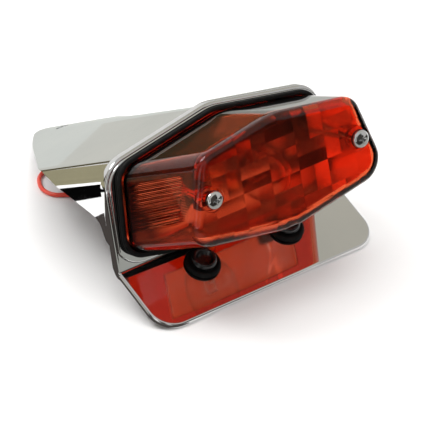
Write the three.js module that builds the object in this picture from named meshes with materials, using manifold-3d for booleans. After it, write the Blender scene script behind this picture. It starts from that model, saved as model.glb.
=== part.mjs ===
// Motorcycle tail light: a hooded rear lamp with a number plate shelf, as a bench assembly.
// Millimetres, +Z up, +X to the right of the lamp, the lens looks towards -Y and upwards.
// The lamp stands on the front edge of its shelf and on the rear tip of its hood.
import * as THREE from 'three';
import { mergeVertices } from 'three/addons/utils/BufferGeometryUtils.js';
import Module from 'manifold-3d';

const wasm = await Module();
wasm.setup();
const { Manifold } = wasm;

// ---------------------------------------------------------------- driving dimensions
const BASE_TILT = 13.4; // degrees, normal of the base plane above the horizontal as the lamp stands
const SHELF_SLOPE = 23.9; // degrees, shelf below the horizontal as the lamp stands
const GAMMA = THREE.MathUtils.degToRad(BASE_TILT + SHELF_SLOPE); // base normal to shelf
const GAP = 0.3; // clearance kept between touching pieces

// gasket outline, a long hexagon with a flattened bottom
const TOP_HALF = 59.3; // half width at the top corners
const TOP_CORNER_Z = 22.6;
const PEAK_Z = 33.0;
const LOW_HALF = 63.2; // half width at the bottom corners
const LOW_CORNER_Z = -22.8;
const FLAT_HALF = 36;
const FLAT_Z = -28.7;
const CORNER_TOP_R = 12;
const CORNER_LOW_R = 12;
const PEAK_R = 26;

// number plate bracket
const SHEET = 1.5; // sheet thickness of the face
const SEAT = 1.0; // raised seat under the gasket
const BEND_Z = -29.6;
const SHELF_HALF = 65.4;
const SHELF_LENGTH = 37.4;
const SHELF_SHEET = 1.5;
const SHELF_LIP = 2.6;
const SHELF_CORNER_R = 13;
const EDGE_DEPTH = 4.6; // depth of the face's turned-back edge

// hood
const HOOD_WALL = 1.6;
const HOOD_LENGTH = 161; // along the ridge, from the bracket's face
const HOOD_DROP = 15.3; // degrees, hood below the base normal's line
const HOOD_FLANGE = 1.8;

// lens
const GASKET_FRONT = 4.4;
const LENS_BASE_D = 2.9;
const LENS_DEPTH = 55.5; // base to face, along the base normal
const FACE_TOP_HALF = 44.2;
const FACE_TOP_Z = 20.8;
const FACE_PEAK_Z = 27.4;
const FACE_LOW_HALF = 56.9;
const FACE_LOW_Z = -19.4;
const FACE_LOW_PEAK_Z = -28.2;
const FACE_SHIFT = 11.6; // the lens rises towards its face
const LENS_WALL = 2.4;
const SCREW_HALF = 43; // lens screws, half spacing
const SCREW_Z = 11.9;
const SCREW_SEAT_D = 54.8;

// bulb and socket, on the lens axis
const GLASS_R = 12.5;
const CAP_R = 7.5;
const SOCKET_R = 8.0; // bore
const PRESS_TRAVEL = 2.5;
const BULB_Z = 4;

// number plate bolts
const BOLT_HALF = 25.1;
const BOLT_L = 12.4; // from the bend, along the shelf

// lead
const WIRE_R = 1.1;
const COIL_R = 12.1;

// ---------------------------------------------------------------- helpers
const rad = THREE.MathUtils.degToRad;

function toSolid(geometry) {
  const g = geometry.clone();
  g.deleteAttribute('normal');
  g.deleteAttribute('uv');
  const m = mergeVertices(g, 1e-4);
  return new Manifold(new wasm.Mesh({
    numProp: 3,
    vertProperties: new Float32Array(m.attributes.position.array),
    triVerts: new Uint32Array(m.index.array),
  }));
}

function toGeometry(solid) {
  const m = solid.getMesh();
  const g = new THREE.BufferGeometry();
  const p = new Float32Array(m.numVert * 3);
  for (let i = 0; i < m.numVert; i++) for (let k = 0; k < 3; k++) p[i * 3 + k] = m.vertProperties[i * m.numProp + k];
  g.setAttribute('position', new THREE.BufferAttribute(p, 3));
  g.setIndex(new THREE.BufferAttribute(new Uint32Array(m.triVerts), 1));
  const flat = g.toNonIndexed();
  flat.computeVertexNormals();
  return flat;
}

// Convex polygon moved outwards by a distance for every edge (negative moves inwards).
function grow(points, by) {
  const n = points.length;
  const area = points.reduce((s, p, i) => s + p[0] * points[(i + 1) % n][1] - points[(i + 1) % n][0] * p[1], 0);
  const turn = area > 0 ? 1 : -1;
  const lines = points.map((p, i) => {
    const q = points[(i + 1) % n];
    const dx = q[0] - p[0], dy = q[1] - p[1], l = Math.hypot(dx, dy);
    const nx = (turn * dy) / l, ny = (-turn * dx) / l;
    const k = Array.isArray(by) ? by[i] : by;
    return { x: p[0] + nx * k, y: p[1] + ny * k, dx, dy };
  });
  return points.map((_, i) => {
    const a = lines[(i + n - 1) % n], b = lines[i];
    const det = a.dx * b.dy - a.dy * b.dx;
    const t = ((b.x - a.x) * b.dy - (b.y - a.y) * b.dx) / det;
    return [a.x + a.dx * t, a.y + a.dy * t];
  });
}

// Polygon with its corners rounded, each corner with the same number of points.
function rounded(points, radii, steps = 4) {
  const n = points.length, out = [];
  for (let i = 0; i < n; i++) {
    const p = new THREE.Vector2(...points[i]);
    const a = new THREE.Vector2(...points[(i + n - 1) % n]).sub(p);
    const b = new THREE.Vector2(...points[(i + 1) % n]).sub(p);
    const la = a.length(), lb = b.length();
    a.normalize(); b.normalize();
    const half = Math.acos(THREE.MathUtils.clamp(a.dot(b), -1, 1)) / 2;
    const r = Math.max(0.05, Array.isArray(radii) ? radii[i] : radii);
    const reach = Math.min(r / Math.tan(half), la * 0.46, lb * 0.46);
    const rr = reach * Math.tan(half);
    const mid = a.clone().add(b).normalize();
    const c = p.clone().add(mid.multiplyScalar(rr / Math.sin(half)));
    const s = p.clone().add(a.clone().multiplyScalar(reach)).sub(c);
    const e = p.clone().add(b.clone().multiplyScalar(reach)).sub(c);
    let t0 = Math.atan2(s.y, s.x), t1 = Math.atan2(e.y, e.x);
    if (t1 - t0 > Math.PI) t1 -= 2 * Math.PI;
    if (t0 - t1 > Math.PI) t1 += 2 * Math.PI;
    for (let k = 0; k <= steps; k++) {
      const t = t0 + ((t1 - t0) * k) / steps;
      out.push([c.x + rr * Math.cos(t), c.y + rr * Math.sin(t)]);
    }
  }
  return out;
}

// Closed body from rings of the same number of points, capped at both ends.
function loft(rings) {
  const n = rings[0].length, pos = [], tri = [];
  for (const ring of rings) for (const p of ring) pos.push(p[0], p[1], p[2]);
  for (let k = 0; k + 1 < rings.length; k++) for (let i = 0; i < n; i++) {
    const a = k * n + i, b = k * n + ((i + 1) % n), c = a + n, d = b + n;
    tri.push(a, b, d, a, d, c);
  }
  const cap = (k, flip) => {
    const ring = rings[k].map((p) => new THREE.Vector3(...p));
    const normal = new THREE.Vector3(), u = new THREE.Vector3(), v = new THREE.Vector3();
    for (let i = 0; i < n; i++) normal.add(new THREE.Vector3().crossVectors(ring[i], ring[(i + 1) % n]));
    normal.normalize();
    u.copy(Math.abs(normal.x) < 0.9 ? new THREE.Vector3(1, 0, 0) : new THREE.Vector3(0, 1, 0)).projectOnPlane(normal).normalize();
    v.crossVectors(normal, u);
    const flat = ring.map((p) => new THREE.Vector2(p.dot(u), p.dot(v)));
    for (const [a, b, c] of THREE.ShapeUtils.triangulateShape(flat, [])) {
      if (flip) tri.push(k * n + a, k * n + c, k * n + b); else tri.push(k * n + a, k * n + b, k * n + c);
    }
  };
  cap(0, true);
  cap(rings.length - 1, false);
  const g = new THREE.BufferGeometry();
  g.setAttribute('position', new THREE.BufferAttribute(new Float32Array(pos), 3));
  g.setIndex(tri);
  let volume = 0;
  for (let i = 0; i < tri.length; i += 3) {
    const [a, b, c] = [0, 1, 2].map((k) => new THREE.Vector3(pos[tri[i + k] * 3], pos[tri[i + k] * 3 + 1], pos[tri[i + k] * 3 + 2]));
    volume += a.dot(b.cross(c)) / 6;
  }
  if (volume < 0) for (let i = 0; i < tri.length; i += 3) [tri[i + 1], tri[i + 2]] = [tri[i + 2], tri[i + 1]];
  g.setIndex(tri);
  return g;
}

// Lens frame: x across, z up the lens, d outwards along the lens axis, kept as y = -d.
const at = (ring, d) => ring.map(([x, z]) => [x, -d, z]);
const prism = (ring, d0, d1) => toSolid(loft([at(ring, d0), at(ring, d1)]));
// A stepped or tapered body between outlines at given depths.
const stack = (...levels) => toSolid(loft(levels.map(([ring, d]) => at(ring, d))));
const circle = (r, n = 24, x = 0, z = 0, turn = 0) => Array.from({ length: n }, (_, i) => {
  const t = turn + (2 * Math.PI * i) / n;
  return [x + r * Math.cos(t), z + r * Math.sin(t)];
});
const rod = (x, z, r, d0, d1, n = 24, turn = 0) => prism(circle(r, n, x, z, turn), d0, d1);
// Body of revolution about a line along the lens axis through (x, z); profile pairs are radius, depth.
function lathe(profile, n = 28, x = 0, z = 0) {
  const g = new THREE.LatheGeometry(profile.map(([r, d]) => new THREE.Vector2(r, d)), n);
  g.rotateX(Math.PI); // the lathe's +y becomes -y, so that d = -y
  g.translate(x, 0, z);
  return fromOpen(g);
}
function fromOpen(g) {
  const c = g.clone();
  c.deleteAttribute('normal');
  c.deleteAttribute('uv');
  let m = mergeVertices(c, 1e-4);
  const index = Array.from(m.index.array), p = m.attributes.position.array, keep = [];
  for (let i = 0; i < index.length; i += 3) {
    const [a, b, d] = [index[i], index[i + 1], index[i + 2]];
    if (a !== b && b !== d && a !== d) keep.push(a, b, d);
  }
  let volume = 0;
  const v = (k) => new THREE.Vector3(p[k * 3], p[k * 3 + 1], p[k * 3 + 2]);
  for (let i = 0; i < keep.length; i += 3) volume += v(keep[i]).dot(v(keep[i + 1]).cross(v(keep[i + 2])));
  if (volume < 0) for (let i = 0; i < keep.length; i += 3) [keep[i + 1], keep[i + 2]] = [keep[i + 2], keep[i + 1]];
  return new Manifold(new wasm.Mesh({ numProp: 3, vertProperties: new Float32Array(p), triVerts: new Uint32Array(keep) }));
}
const box = (x0, x1, d0, d1, z0, z1) => {
  const g = new THREE.BoxGeometry(x1 - x0, d1 - d0, z1 - z0);
  g.translate((x0 + x1) / 2, -(d0 + d1) / 2, (z0 + z1) / 2);
  return toSolid(g);
};

// ---------------------------------------------------------------- outlines
const HEX = [
  [0, PEAK_Z], [TOP_HALF, TOP_CORNER_Z], [LOW_HALF, LOW_CORNER_Z], [FLAT_HALF, FLAT_Z],
  [-FLAT_HALF, FLAT_Z], [-LOW_HALF, LOW_CORNER_Z], [-TOP_HALF, TOP_CORNER_Z],
];
const HEX_R = [PEAK_R, CORNER_TOP_R, CORNER_LOW_R, 20, 20, CORNER_LOW_R, CORNER_TOP_R];
const hex = (by, steps = 4) => rounded(grow(HEX, by), HEX_R.map((r) => Math.max(2, r + by)), steps);

// outline of the bracket's face: it widens down to the bend
const FACE = [
  [0, PEAK_Z + 1.1], [TOP_HALF + 4.7, TOP_CORNER_Z + 0.2], [SHELF_HALF, BEND_Z],
  [-SHELF_HALF, BEND_Z], [-TOP_HALF - 4.7, TOP_CORNER_Z + 0.2],
];
const FACE_R = [27, 15, 0.1, 0.1, 15];
const face = (top, bottom = 0) => rounded(
  grow(FACE, [top, top, bottom, top, top]), FACE_R.map((r) => (r > 1 ? Math.max(2, r + top) : r)), 5);

const red = 0xa01410;
const material = (color, roughness, metalness, extra = {}) => new THREE.MeshStandardMaterial({ color, roughness, metalness, ...extra });
const CHROME = () => material(0xd8dadc, 0.08, 1);
const lamp = new THREE.Group(); // everything in the lens frame
const loose = new THREE.Group(); // the lead, in the floor frame
function add(name, solid, mat, group = lamp) {
  const mesh = new THREE.Mesh(solid.isBufferGeometry ? solid : toGeometry(solid), mat);
  mesh.name = name;
  group.add(mesh);
  return mesh;
}

// ---------------------------------------------------------------- number plate bracket
// Shelf coordinates: x, l along the shelf from the bend, u up out of its face.
const shelfPoint = (x, l, u) => {
  const d = l * Math.cos(GAMMA) + u * Math.sin(GAMMA);
  const z = BEND_Z - l * Math.sin(GAMMA) + u * Math.cos(GAMMA);
  return [x, -d, z];
};
const shelfPrism = (ring, u0, u1) => toSolid(loft([ring.map(([x, l]) => shelfPoint(x, l, u0)), ring.map(([x, l]) => shelfPoint(x, l, u1))]));
const shelfStack = (...levels) => toSolid(loft(levels.map(([ring, u]) => ring.map(([x, l]) => shelfPoint(x, l, u)))));
const shelfRing = (by, start) => rounded([
  [-SHELF_HALF - by, start], [SHELF_HALF + by, start], [SHELF_HALF + by, SHELF_LENGTH + by], [-SHELF_HALF - by, SHELF_LENGTH + by],
], [0.1, 0.1, SHELF_CORNER_R + by, SHELF_CORNER_R + by], 7);

const bracket = (() => {
  let s = stack([face(-0.4), -EDGE_DEPTH], [face(0), -EDGE_DEPTH + 0.5], [face(0), -1.6], [face(-0.55), -0.5], [face(-1.5), 0]);
  s = s.subtract(stack([face(-SHEET, 3), -EDGE_DEPTH - 1], [face(-SHEET, 3), -SHEET])); // hollow behind the face
  const seat = stack([hex(3.0), -0.5], [hex(3.0), SEAT * 0.4], [hex(2.3), SEAT]);
  s = s.add(seat.intersect(prism(face(-0.5), -3, 4)).subtract(box(-80, 80, -2, 4, -60, BEND_Z)));
  let shelf = shelfStack([shelfRing(0, -1.2), -SHELF_LIP], [shelfRing(0, -1.2), -0.5], [shelfRing(-0.6, -1.2), 0]);
  shelf = shelf.subtract(shelfPrism(shelfRing(-SHELF_SHEET, 2.4), -SHELF_LIP - 1, -SHELF_SHEET));
  shelf = shelf.subtract(shelfPrism([[-100, -4], [100, -4], [100, 2.5], [-100, 2.5]], -SHELF_LIP - 1, -SHELF_SHEET));
  shelf = shelf.subtract(box(-80, 80, 0, 6, BEND_Z, 10));
  s = s.add(shelf);
  // bend, outside radius
  const bend = [[0.0, BEND_Z + 0.6], [-SHEET, BEND_Z + 0.6], [-SHEET, BEND_Z - 0.2], [-1.75, BEND_Z - 0.75], [-1.2, BEND_Z - 1.15], [-0.3, BEND_Z - 1.5], [0.35, BEND_Z - 1.2]];
  const bar = loft([bend.map(([d, z]) => [-SHELF_HALF + 0.05, -d, z]), bend.map(([d, z]) => [SHELF_HALF - 0.05, -d, z])]);
  s = s.add(toSolid(bar));
  // openings: socket, clamp screws, bolt holes
  s = s.subtract(rod(0, BULB_Z, 14.5, -10, 10, 32));
  for (const x of [-32, 32]) s = s.subtract(rod(x, 0, 2.6, -10, 10, 16));
  for (const x of [-BOLT_HALF, BOLT_HALF]) {
    const ring = circle(3.3, 20).map(([a, b]) => [a + x, b + BOLT_L]);
    s = s.subtract(shelfPrism(ring, -6, 4));
  }
  return s;
})();
add('number_plate_bracket', bracket, CHROME());

// ---------------------------------------------------------------- hood
const hoodRing = (by) => hex(by - 0.8, 5);
const HOOD_FRONT = -SHEET - GAP; // it sits in the hollow behind the face
const hood = (() => {
  const drop = Math.tan(rad(HOOD_DROP)), end = -HOOD_LENGTH * Math.cos(rad(HOOD_DROP));
  const skew = (ring, d) => ring.map(([x, z]) => [x, z + (d - HOOD_FRONT) * drop]);
  const tube = (ring, d0, d1) => stack([skew(ring, d0), d0], [skew(ring, d1), d1]);
  let s = tube(hoodRing(0), end, HOOD_FRONT);
  s = s.subtract(tube(hoodRing(-HOOD_WALL), end - 10, HOOD_FRONT - HOOD_FLANGE));
  s = s.subtract(rod(0, BULB_Z, 17, -20, 10, 32));
  for (const x of [-32, 32]) s = s.subtract(rod(x, 0, 2.6, -20, 10, 16));
  return s;
})();

// ---------------------------------------------------------------- gasket
const gasket = (() => {
  let s = stack([hex(-0.3), SEAT + GAP], [hex(0), SEAT + GAP + 0.5], [hex(0), GASKET_FRONT - 0.7], [hex(-0.7), GASKET_FRONT]);
  // recess for the lens, which leaves it rising
  const rise = (ring, d) => ring.map(([x, z]) => [x, z + ((d - LENS_BASE_D) * FACE_SHIFT) / (LENS_DEPTH - LENS_BASE_D)]);
  s = s.subtract(stack([rise(hex(-2.5), LENS_BASE_D - GAP), LENS_BASE_D - GAP], [rise(hex(-2.5), GASKET_FRONT + 1), GASKET_FRONT + 1]));
  s = s.subtract(prism(hex(-9), 0, GASKET_FRONT + 1));
  return s;
})();
add('base_gasket', gasket, material(0x0c0c0c, 0.75, 0));

// ---------------------------------------------------------------- base plate with its screw pillars
const PLATE0 = LENS_BASE_D, PLATE1 = LENS_BASE_D + 1.5;
const basePlate = (() => {
  const inner = hex(-2.9 - LENS_WALL - 1.3);
  let s = prism(inner, PLATE0, PLATE1);
  for (const x of [-SCREW_HALF, SCREW_HALF]) {
    s = s.add(stack([circle(5.4, 20, x, SCREW_Z), PLATE1 - 0.5], [circle(4.4, 20, x, SCREW_Z), PLATE1 + 2], [circle(4.0, 20, x, SCREW_Z), 22]));
    s = s.subtract(rod(x, SCREW_Z, 2.15, PLATE0 - 1, 23, 16));
  }
  s = s.subtract(rod(0, BULB_Z, 9.9, 0, 10, 28));
  for (const x of [-32, 32]) s = s.subtract(rod(x, 0, 2.5, 0, 10, 16));
  return s;
})();
add('base_plate', basePlate, material(0xc9c9c4, 0.35, 0.8));

// ---------------------------------------------------------------- clamp screws, washers, nuts behind the hood flange
const BACK = HOOD_FRONT - HOOD_FLANGE; // rear face of the hood's flange
for (const [side, x] of [['left', -32], ['right', 32]]) {
  let screw = lathe([[0, PLATE1 + GAP + 2.3], [2.2, PLATE1 + GAP + 2.2], [3.6, PLATE1 + GAP + 1.3], [4.0, PLATE1 + GAP], [2.0, PLATE1 + GAP], [2.0, BACK - 9.0], [1.5, BACK - 9.5], [0, BACK - 9.5]], 20, x, 0);
  screw = screw.subtract(box(x - 0.5, x + 0.5, PLATE1 + 1.6, PLATE1 + 4, -5, 5));
  add(`base_screw_${side}`, screw, material(0xb9bcbf, 0.3, 0.95));
  const w0 = BACK - GAP;
  add(`base_washer_${side}`, rod(x, 0, 5, w0 - 1, w0, 20).subtract(rod(x, 0, 2.3, w0 - 2, w0 + 1, 16)), material(0xb0b3b6, 0.35, 0.95));
  add(`base_nut_${side}`, rod(x, 0, 4.1, w0 - 1 - GAP - 3.2, w0 - 1 - GAP, 6).subtract(rod(x, 0, 2.3, w0 - 6, w0, 16)), material(0xb0b3b6, 0.35, 0.95));
}

// ---------------------------------------------------------------- lens
const LENS_BASE = grow(HEX, -2.9);
const LENS_BASE_R = HEX_R.map((r) => Math.max(3, r - 2.9));
const FACE_HEX = [
  [0, FACE_PEAK_Z], [FACE_TOP_HALF, FACE_TOP_Z], [FACE_LOW_HALF, FACE_LOW_Z], [3, FACE_LOW_PEAK_Z + 0.3],
  [-3, FACE_LOW_PEAK_Z + 0.3], [-FACE_LOW_HALF, FACE_LOW_Z], [-FACE_TOP_HALF, FACE_TOP_Z],
];
const FACE_HEX_R = [40, 10, 11, 4, 4, 11, 10];
const lensBase = (by, steps) => rounded(grow(LENS_BASE, by), LENS_BASE_R.map((r) => Math.max(1.5, r + by)), steps);
const lensFace = (by, steps) => rounded(grow(FACE_HEX, by), FACE_HEX_R.map((r) => Math.max(1.5, r + by)), steps);
// a point of the face plane, set back from it by s
const facePoint = ([x, z], s = 0) => [x, -(LENS_DEPTH - s), FACE_SHIFT + z];
function lensBody(inset, faceBack, baseD, steps = 4) {
  const base = at(lensBase(-inset, steps), baseD);
  const edge = lensFace(1.0 - inset, steps).map((p) => facePoint(p, faceBack));
  const flatPart = lensFace(-3.8 - inset * 0.4, steps).map((p) => facePoint(p, faceBack));
  const lerp = (a, b, t) => a.map((v, k) => v + (b[k] - v) * t);
  const shoulder = base.map((b, i) => { // 5.5 mm short of the face, along the wall
    const e = edge[i], l = Math.hypot(e[0] - b[0], e[1] - b[1], e[2] - b[2]);
    return lerp(b, e, 1 - 5.5 / l);
  });
  const rings = [base, base.map((b, i) => lerp(b, shoulder[i], 0.5)), shoulder];
  for (const t of [0.3, 0.55, 0.78]) {
    rings.push(shoulder.map((s, i) => lerp(lerp(s, edge[i], t), lerp(edge[i], flatPart[i], t), t)));
  }
  rings.push(flatPart);
  return toSolid(loft(rings));
}
const WINDOW = [-38, 38, 10, 32]; // x and d of the clear window in the lens's underside
const { lens, clearWindow } = (() => {
  let s = lensBody(0, 0, LENS_BASE_D);
  s = s.subtract(lensBody(LENS_WALL, 3.0, LENS_BASE_D - 2));
  for (const x of [-SCREW_HALF, SCREW_HALF]) {
    s = s.add(rod(x, SCREW_Z, 5.6, SCREW_SEAT_D - 4.6, SCREW_SEAT_D + 0.2, 24));
    s = s.subtract(rod(x, SCREW_Z, 6.0, SCREW_SEAT_D, SCREW_SEAT_D + 8, 24));
    s = s.subtract(rod(x, SCREW_Z, 2.4, SCREW_SEAT_D - 12, SCREW_SEAT_D + 8, 16));
  }
  const [x0, x1, d0, d1] = WINDOW;
  const pane = s.intersect(box(x0 + GAP, x1 - GAP, d0 + GAP, d1 - GAP, -45, -14.3));
  s = s.subtract(box(x0, x1, d0, d1, -45, -14));
  return { lens: s, clearWindow: pane };
})();
add('lens', lens, material(red, 0.08, 0, { transparent: true, opacity: 0.8 }));
add('clear_window', clearWindow, material(0xf2f2ef, 0.06, 0, { transparent: true, opacity: 0.35 }));

// ---------------------------------------------------------------- lens screws and their sealing washers
for (const [side, x] of [['left', -SCREW_HALF], ['right', SCREW_HALF]]) {
  const w0 = SCREW_SEAT_D + GAP;
  add(`lens_screw_washer_${side}`, lathe([[2.4, w0], [5.0, w0], [5.2, w0 + 0.4], [5.0, w0 + 0.8], [2.4, w0 + 0.8]].concat([[2.4, w0]]), 24, x, SCREW_Z), material(0x222222, 0.7, 0));
  const h0 = w0 + 0.8 + GAP;
  let screw = lathe([[0, h0 + 2.5], [1.6, h0 + 2.45], [3.1, h0 + 2.0], [4.1, h0 + 1.2], [4.45, h0 + 0.4], [4.4, h0], [1.95, h0], [1.95, 8.0], [1.4, 7.2], [0, 7.2]], 24, x, SCREW_Z);
  screw = screw.subtract(box(x - 0.55, x + 0.55, h0 + 1.0, h0 + 4, SCREW_Z - 2.6, SCREW_Z + 2.6));
  screw = screw.subtract(box(x - 2.6, x + 2.6, h0 + 1.0, h0 + 4, SCREW_Z - 0.55, SCREW_Z + 0.55));
  add(`lens_screw_${side}`, screw, material(0xd5d7d9, 0.12, 1));
}

// ---------------------------------------------------------------- bulb socket, contacts, boot
const bulbLine = new THREE.Group();
bulbLine.position.set(0, 0, BULB_Z);
lamp.add(bulbLine);
const CUP0 = -15, CUP_FLOOR = -13.6, CUP1 = 11;
const FLANGE_D = PLATE1 + GAP;
const socket = (() => {
  let s = lathe([[0, CUP0], [9.3, CUP0], [9.3, FLANGE_D], [12.6, FLANGE_D], [12.6, FLANGE_D + 1.2], [9.3, FLANGE_D + 1.4], [9.3, CUP1], [SOCKET_R, CUP1], [SOCKET_R, CUP_FLOOR], [0, CUP_FLOOR]], 32);
  for (const x of [-3.2, 3.2]) s = s.subtract(rod(x, 0, 1.7, CUP0 - 1, CUP_FLOOR + 1, 14));
  // bayonet slots: a window for the pin's press and turn, and the entry to the rim
  for (const turn of [0, 180]) {
    const cell = (a0, a1, d0, d1) => {
      const ring = [];
      const n = 5;
      for (let i = 0; i <= n; i++) { const t = rad(turn + a0 + ((a1 - a0) * i) / n); ring.push([7.0 * Math.cos(t), 7.0 * Math.sin(t)]); }
      for (let i = n; i >= 0; i--) { const t = rad(turn + a0 + ((a1 - a0) * i) / n); ring.push([10.5 * Math.cos(t), 10.5 * Math.sin(t)]); }
      return prism(ring, d0, d1);
    };
    s = s.subtract(cell(-10, 32, 6.5 - 1.3 - PRESS_TRAVEL, 6.5 + 1.3));
    s = s.subtract(cell(10, 32, 6.5, CUP1 + 1));
  }
  return s;
})();
add('bulb_socket', socket, material(0xb08a3e, 0.35, 0.9), bulbLine);

const disc = rod(0, 0, 7.6, -5.4, -3.6, 28).subtract(rod(-3.2, 0, 1.25, -7, 0, 14)).subtract(rod(3.2, 0, 1.25, -7, 0, 14));
add('contact_carrier', disc, material(0x6b4a2c, 0.6, 0), bulbLine);
for (const [name, x] of [['contact_plunger_tail', -3.2], ['contact_plunger_stop', 3.2]]) {
  add(name, lathe([[0, -2.6], [0.5, -2.65], [0.95, -3.0], [0.95, -9.5], [0.6, -10.2], [0, -10.2]], 14, x, 0), material(0xc79a45, 0.3, 0.95), bulbLine);
}
{ // light coil spring behind the carrier
  const turns = 3, r = 6.3, wire = 0.4, d0 = -6.2, d1 = -10.2, pts = [];
  const n = turns * 14;
  for (let i = 0; i <= n; i++) {
    const t = (2 * Math.PI * turns * i) / n;
    pts.push(new THREE.Vector3(r * Math.cos(t), -(d0 + ((d1 - d0) * i) / n), r * Math.sin(t)));
  }
  const path = new THREE.CatmullRomCurve3(pts);
  const section = new THREE.Shape(circle(wire, 6).map(([a, b]) => new THREE.Vector2(a, b)));
  add('contact_spring', fromOpen(new THREE.ExtrudeGeometry(section, { steps: n, extrudePath: path, bevelEnabled: false })), material(0x9ea2a6, 0.3, 0.95), bulbLine);
}
const boot = lathe([[9.6, -5.2], [11.0, -5.2], [11.2, -6.0], [11.2, -14.5], [10.0, -17.0], [4.2, -19.5], [3.4, -21], [2.9, -27], [WIRE_R + 0.3, -27], [WIRE_R + 0.3, -20], [4, -18.5], [9.6, -15.9], [9.6, -5.2]], 24);
add('socket_boot', boot, material(0x141414, 0.8, 0), bulbLine);

// ---------------------------------------------------------------- bulb: brass cap with pins, glass, filament mount
const capTop = 14.5;
let cap = lathe([[0, -2.0], [1.9, -2.0], [4.6, -1.7], [CAP_R, -0.9], [CAP_R, capTop - 2], [CAP_R + 0.25, capTop - 1.6], [CAP_R, capTop - 1.2], [CAP_R, capTop], [CAP_R - 0.5, capTop], [CAP_R - 0.5, 1.0], [0, 1.0]], 28);
for (const s of [-1, 1]) {
  const pin = new THREE.CylinderGeometry(1.0, 1.0, 2.6, 12);
  pin.rotateZ(Math.PI / 2);
  pin.translate(s * 8.3, -6.5, 0);
  cap = cap.add(toSolid(pin));
}
add('bulb_cap', cap, material(0xcdb26a, 0.25, 0.95), bulbLine);
const glass = lathe([
  [6.5, 10.5], [6.5, 15.2], [7.8, 17.5], [10.6, 21.5], [12.2, 26], [GLASS_R, 31], [11.9, 36.5], [9.6, 41.8], [6.2, 45.0], [3.0, 46.4], [0, 46.8],
  [0, 46.0], [2.8, 45.6], [5.8, 44.3], [9.0, 41.3], [11.1, 36.2], [11.7, 31], [11.4, 26.2], [9.9, 22], [7.1, 18], [5.7, 15.6], [5.7, 10.5], [6.5, 10.5],
], 28);
add('bulb_glass', glass, material(0xf5f6f7, 0.03, 0, { transparent: true, opacity: 0.25 }), bulbLine);
const mount = (() => { // glass stem with support wires and the two filaments
  let s = lathe([[0, 3.0], [3.6, 3.0], [3.4, 13], [2.2, 19], [1.4, 22], [0, 22.4]], 16);
  for (const [x, z, top] of [[-2.6, 0.8, 32], [2.6, 0.8, 32], [-1.8, -1.4, 27], [1.8, -1.4, 27]]) {
    s = s.add(rod(x, z, 0.3, 12, top, 6));
  }
  s = s.add(box(-2.8, 2.8, 31.6, 32.2, 0.5, 1.1)).add(box(-2.0, 2.0, 26.6, 27.2, -1.7, -1.1));
  return s;
})();
add('bulb_filament_mount', mount, material(0xbfc3c6, 0.3, 0.7), bulbLine);

// ---------------------------------------------------------------- number plate bolts on the shelf
const shelfLathe = (profile, x, n = 24) => { // profile pairs are radius, height above the shelf
  const solid = lathe(profile, n); // axis along d
  const m = new THREE.Matrix4().makeBasis(
    new THREE.Vector3(1, 0, 0), new THREE.Vector3(0, -Math.sin(GAMMA), Math.cos(GAMMA)).multiplyScalar(-1),
    new THREE.Vector3(0, Math.cos(GAMMA), Math.sin(GAMMA)));
  const o = shelfPoint(x, BOLT_L, 0);
  m.setPosition(...o);
  return { solid, m };
};
function addShelf(name, profile, x, mat, cut, n) {
  const { solid, m } = shelfLathe(profile, x, n);
  const s = cut ? solid.subtract(cut) : solid;
  const g = toGeometry(s);
  g.applyMatrix4(m);
  if (m.determinant() < 0) throw new Error('mirrored shelf frame');
  return add(name, g, mat);
}
for (const [side, x] of [['left', -BOLT_HALF], ['right', BOLT_HALF]]) {
  addShelf(`plate_washer_${side}`, [[3.0, GAP], [8.5, GAP], [8.9, 0.9], [8.7, 2.0], [7.9, 2.7], [3.0, 2.7], [3.0, GAP]], x, material(0x0d0d0d, 0.8, 0));
  addShelf(`plate_bolt_${side}`, [
    [0, 3.4], [3.1, 3.4], [3.1, 5.6], [4.4, 6.0], [5.4, 5.5], [6.1, 4.4], [6.2, 3.2], [2.6, 3.2], [2.6, -9.6], [2.2, -10], [0, -10],
  ], x, material(0x121212, 0.3, 0.4));
  addShelf(`plate_nut_washer_${side}`, [[2.9, -SHELF_SHEET - GAP - 1.2], [6, -SHELF_SHEET - GAP - 1.2], [6, -SHELF_SHEET - GAP], [2.9, -SHELF_SHEET - GAP], [2.9, -SHELF_SHEET - GAP - 1.2]], x, material(0xb0b3b6, 0.35, 0.95), null, 20);
  addShelf(`plate_nut_${side}`, [[0, -SHELF_SHEET - 2 * GAP - 5.4], [5.2, -SHELF_SHEET - 2 * GAP - 5.4], [5.2, -SHELF_SHEET - 2 * GAP - 1.2], [0, -SHELF_SHEET - 2 * GAP - 1.2]], x, material(0xb0b3b6, 0.35, 0.95), rod(0, 0, 3.0, -20, 20, 20), 6);
}

// ---------------------------------------------------------------- standing position
const ALPHA = rad(BASE_TILT);
const BETA = rad(SHELF_SLOPE);
// height of the lens frame's origin, so that the shelf's front edge is at z = 0
const BASE_HEIGHT = -BEND_Z * Math.cos(ALPHA) + SHELF_LENGTH * Math.sin(BETA) + SHELF_LIP * Math.cos(BETA);
lamp.rotation.x = -ALPHA;
lamp.position.set(0, 0, BASE_HEIGHT);
const floorPoint = (x, d, z) => new THREE.Vector3(x, z * Math.sin(ALPHA) - d * Math.cos(ALPHA), z * Math.cos(ALPHA) + d * Math.sin(ALPHA) + BASE_HEIGHT);

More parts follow.
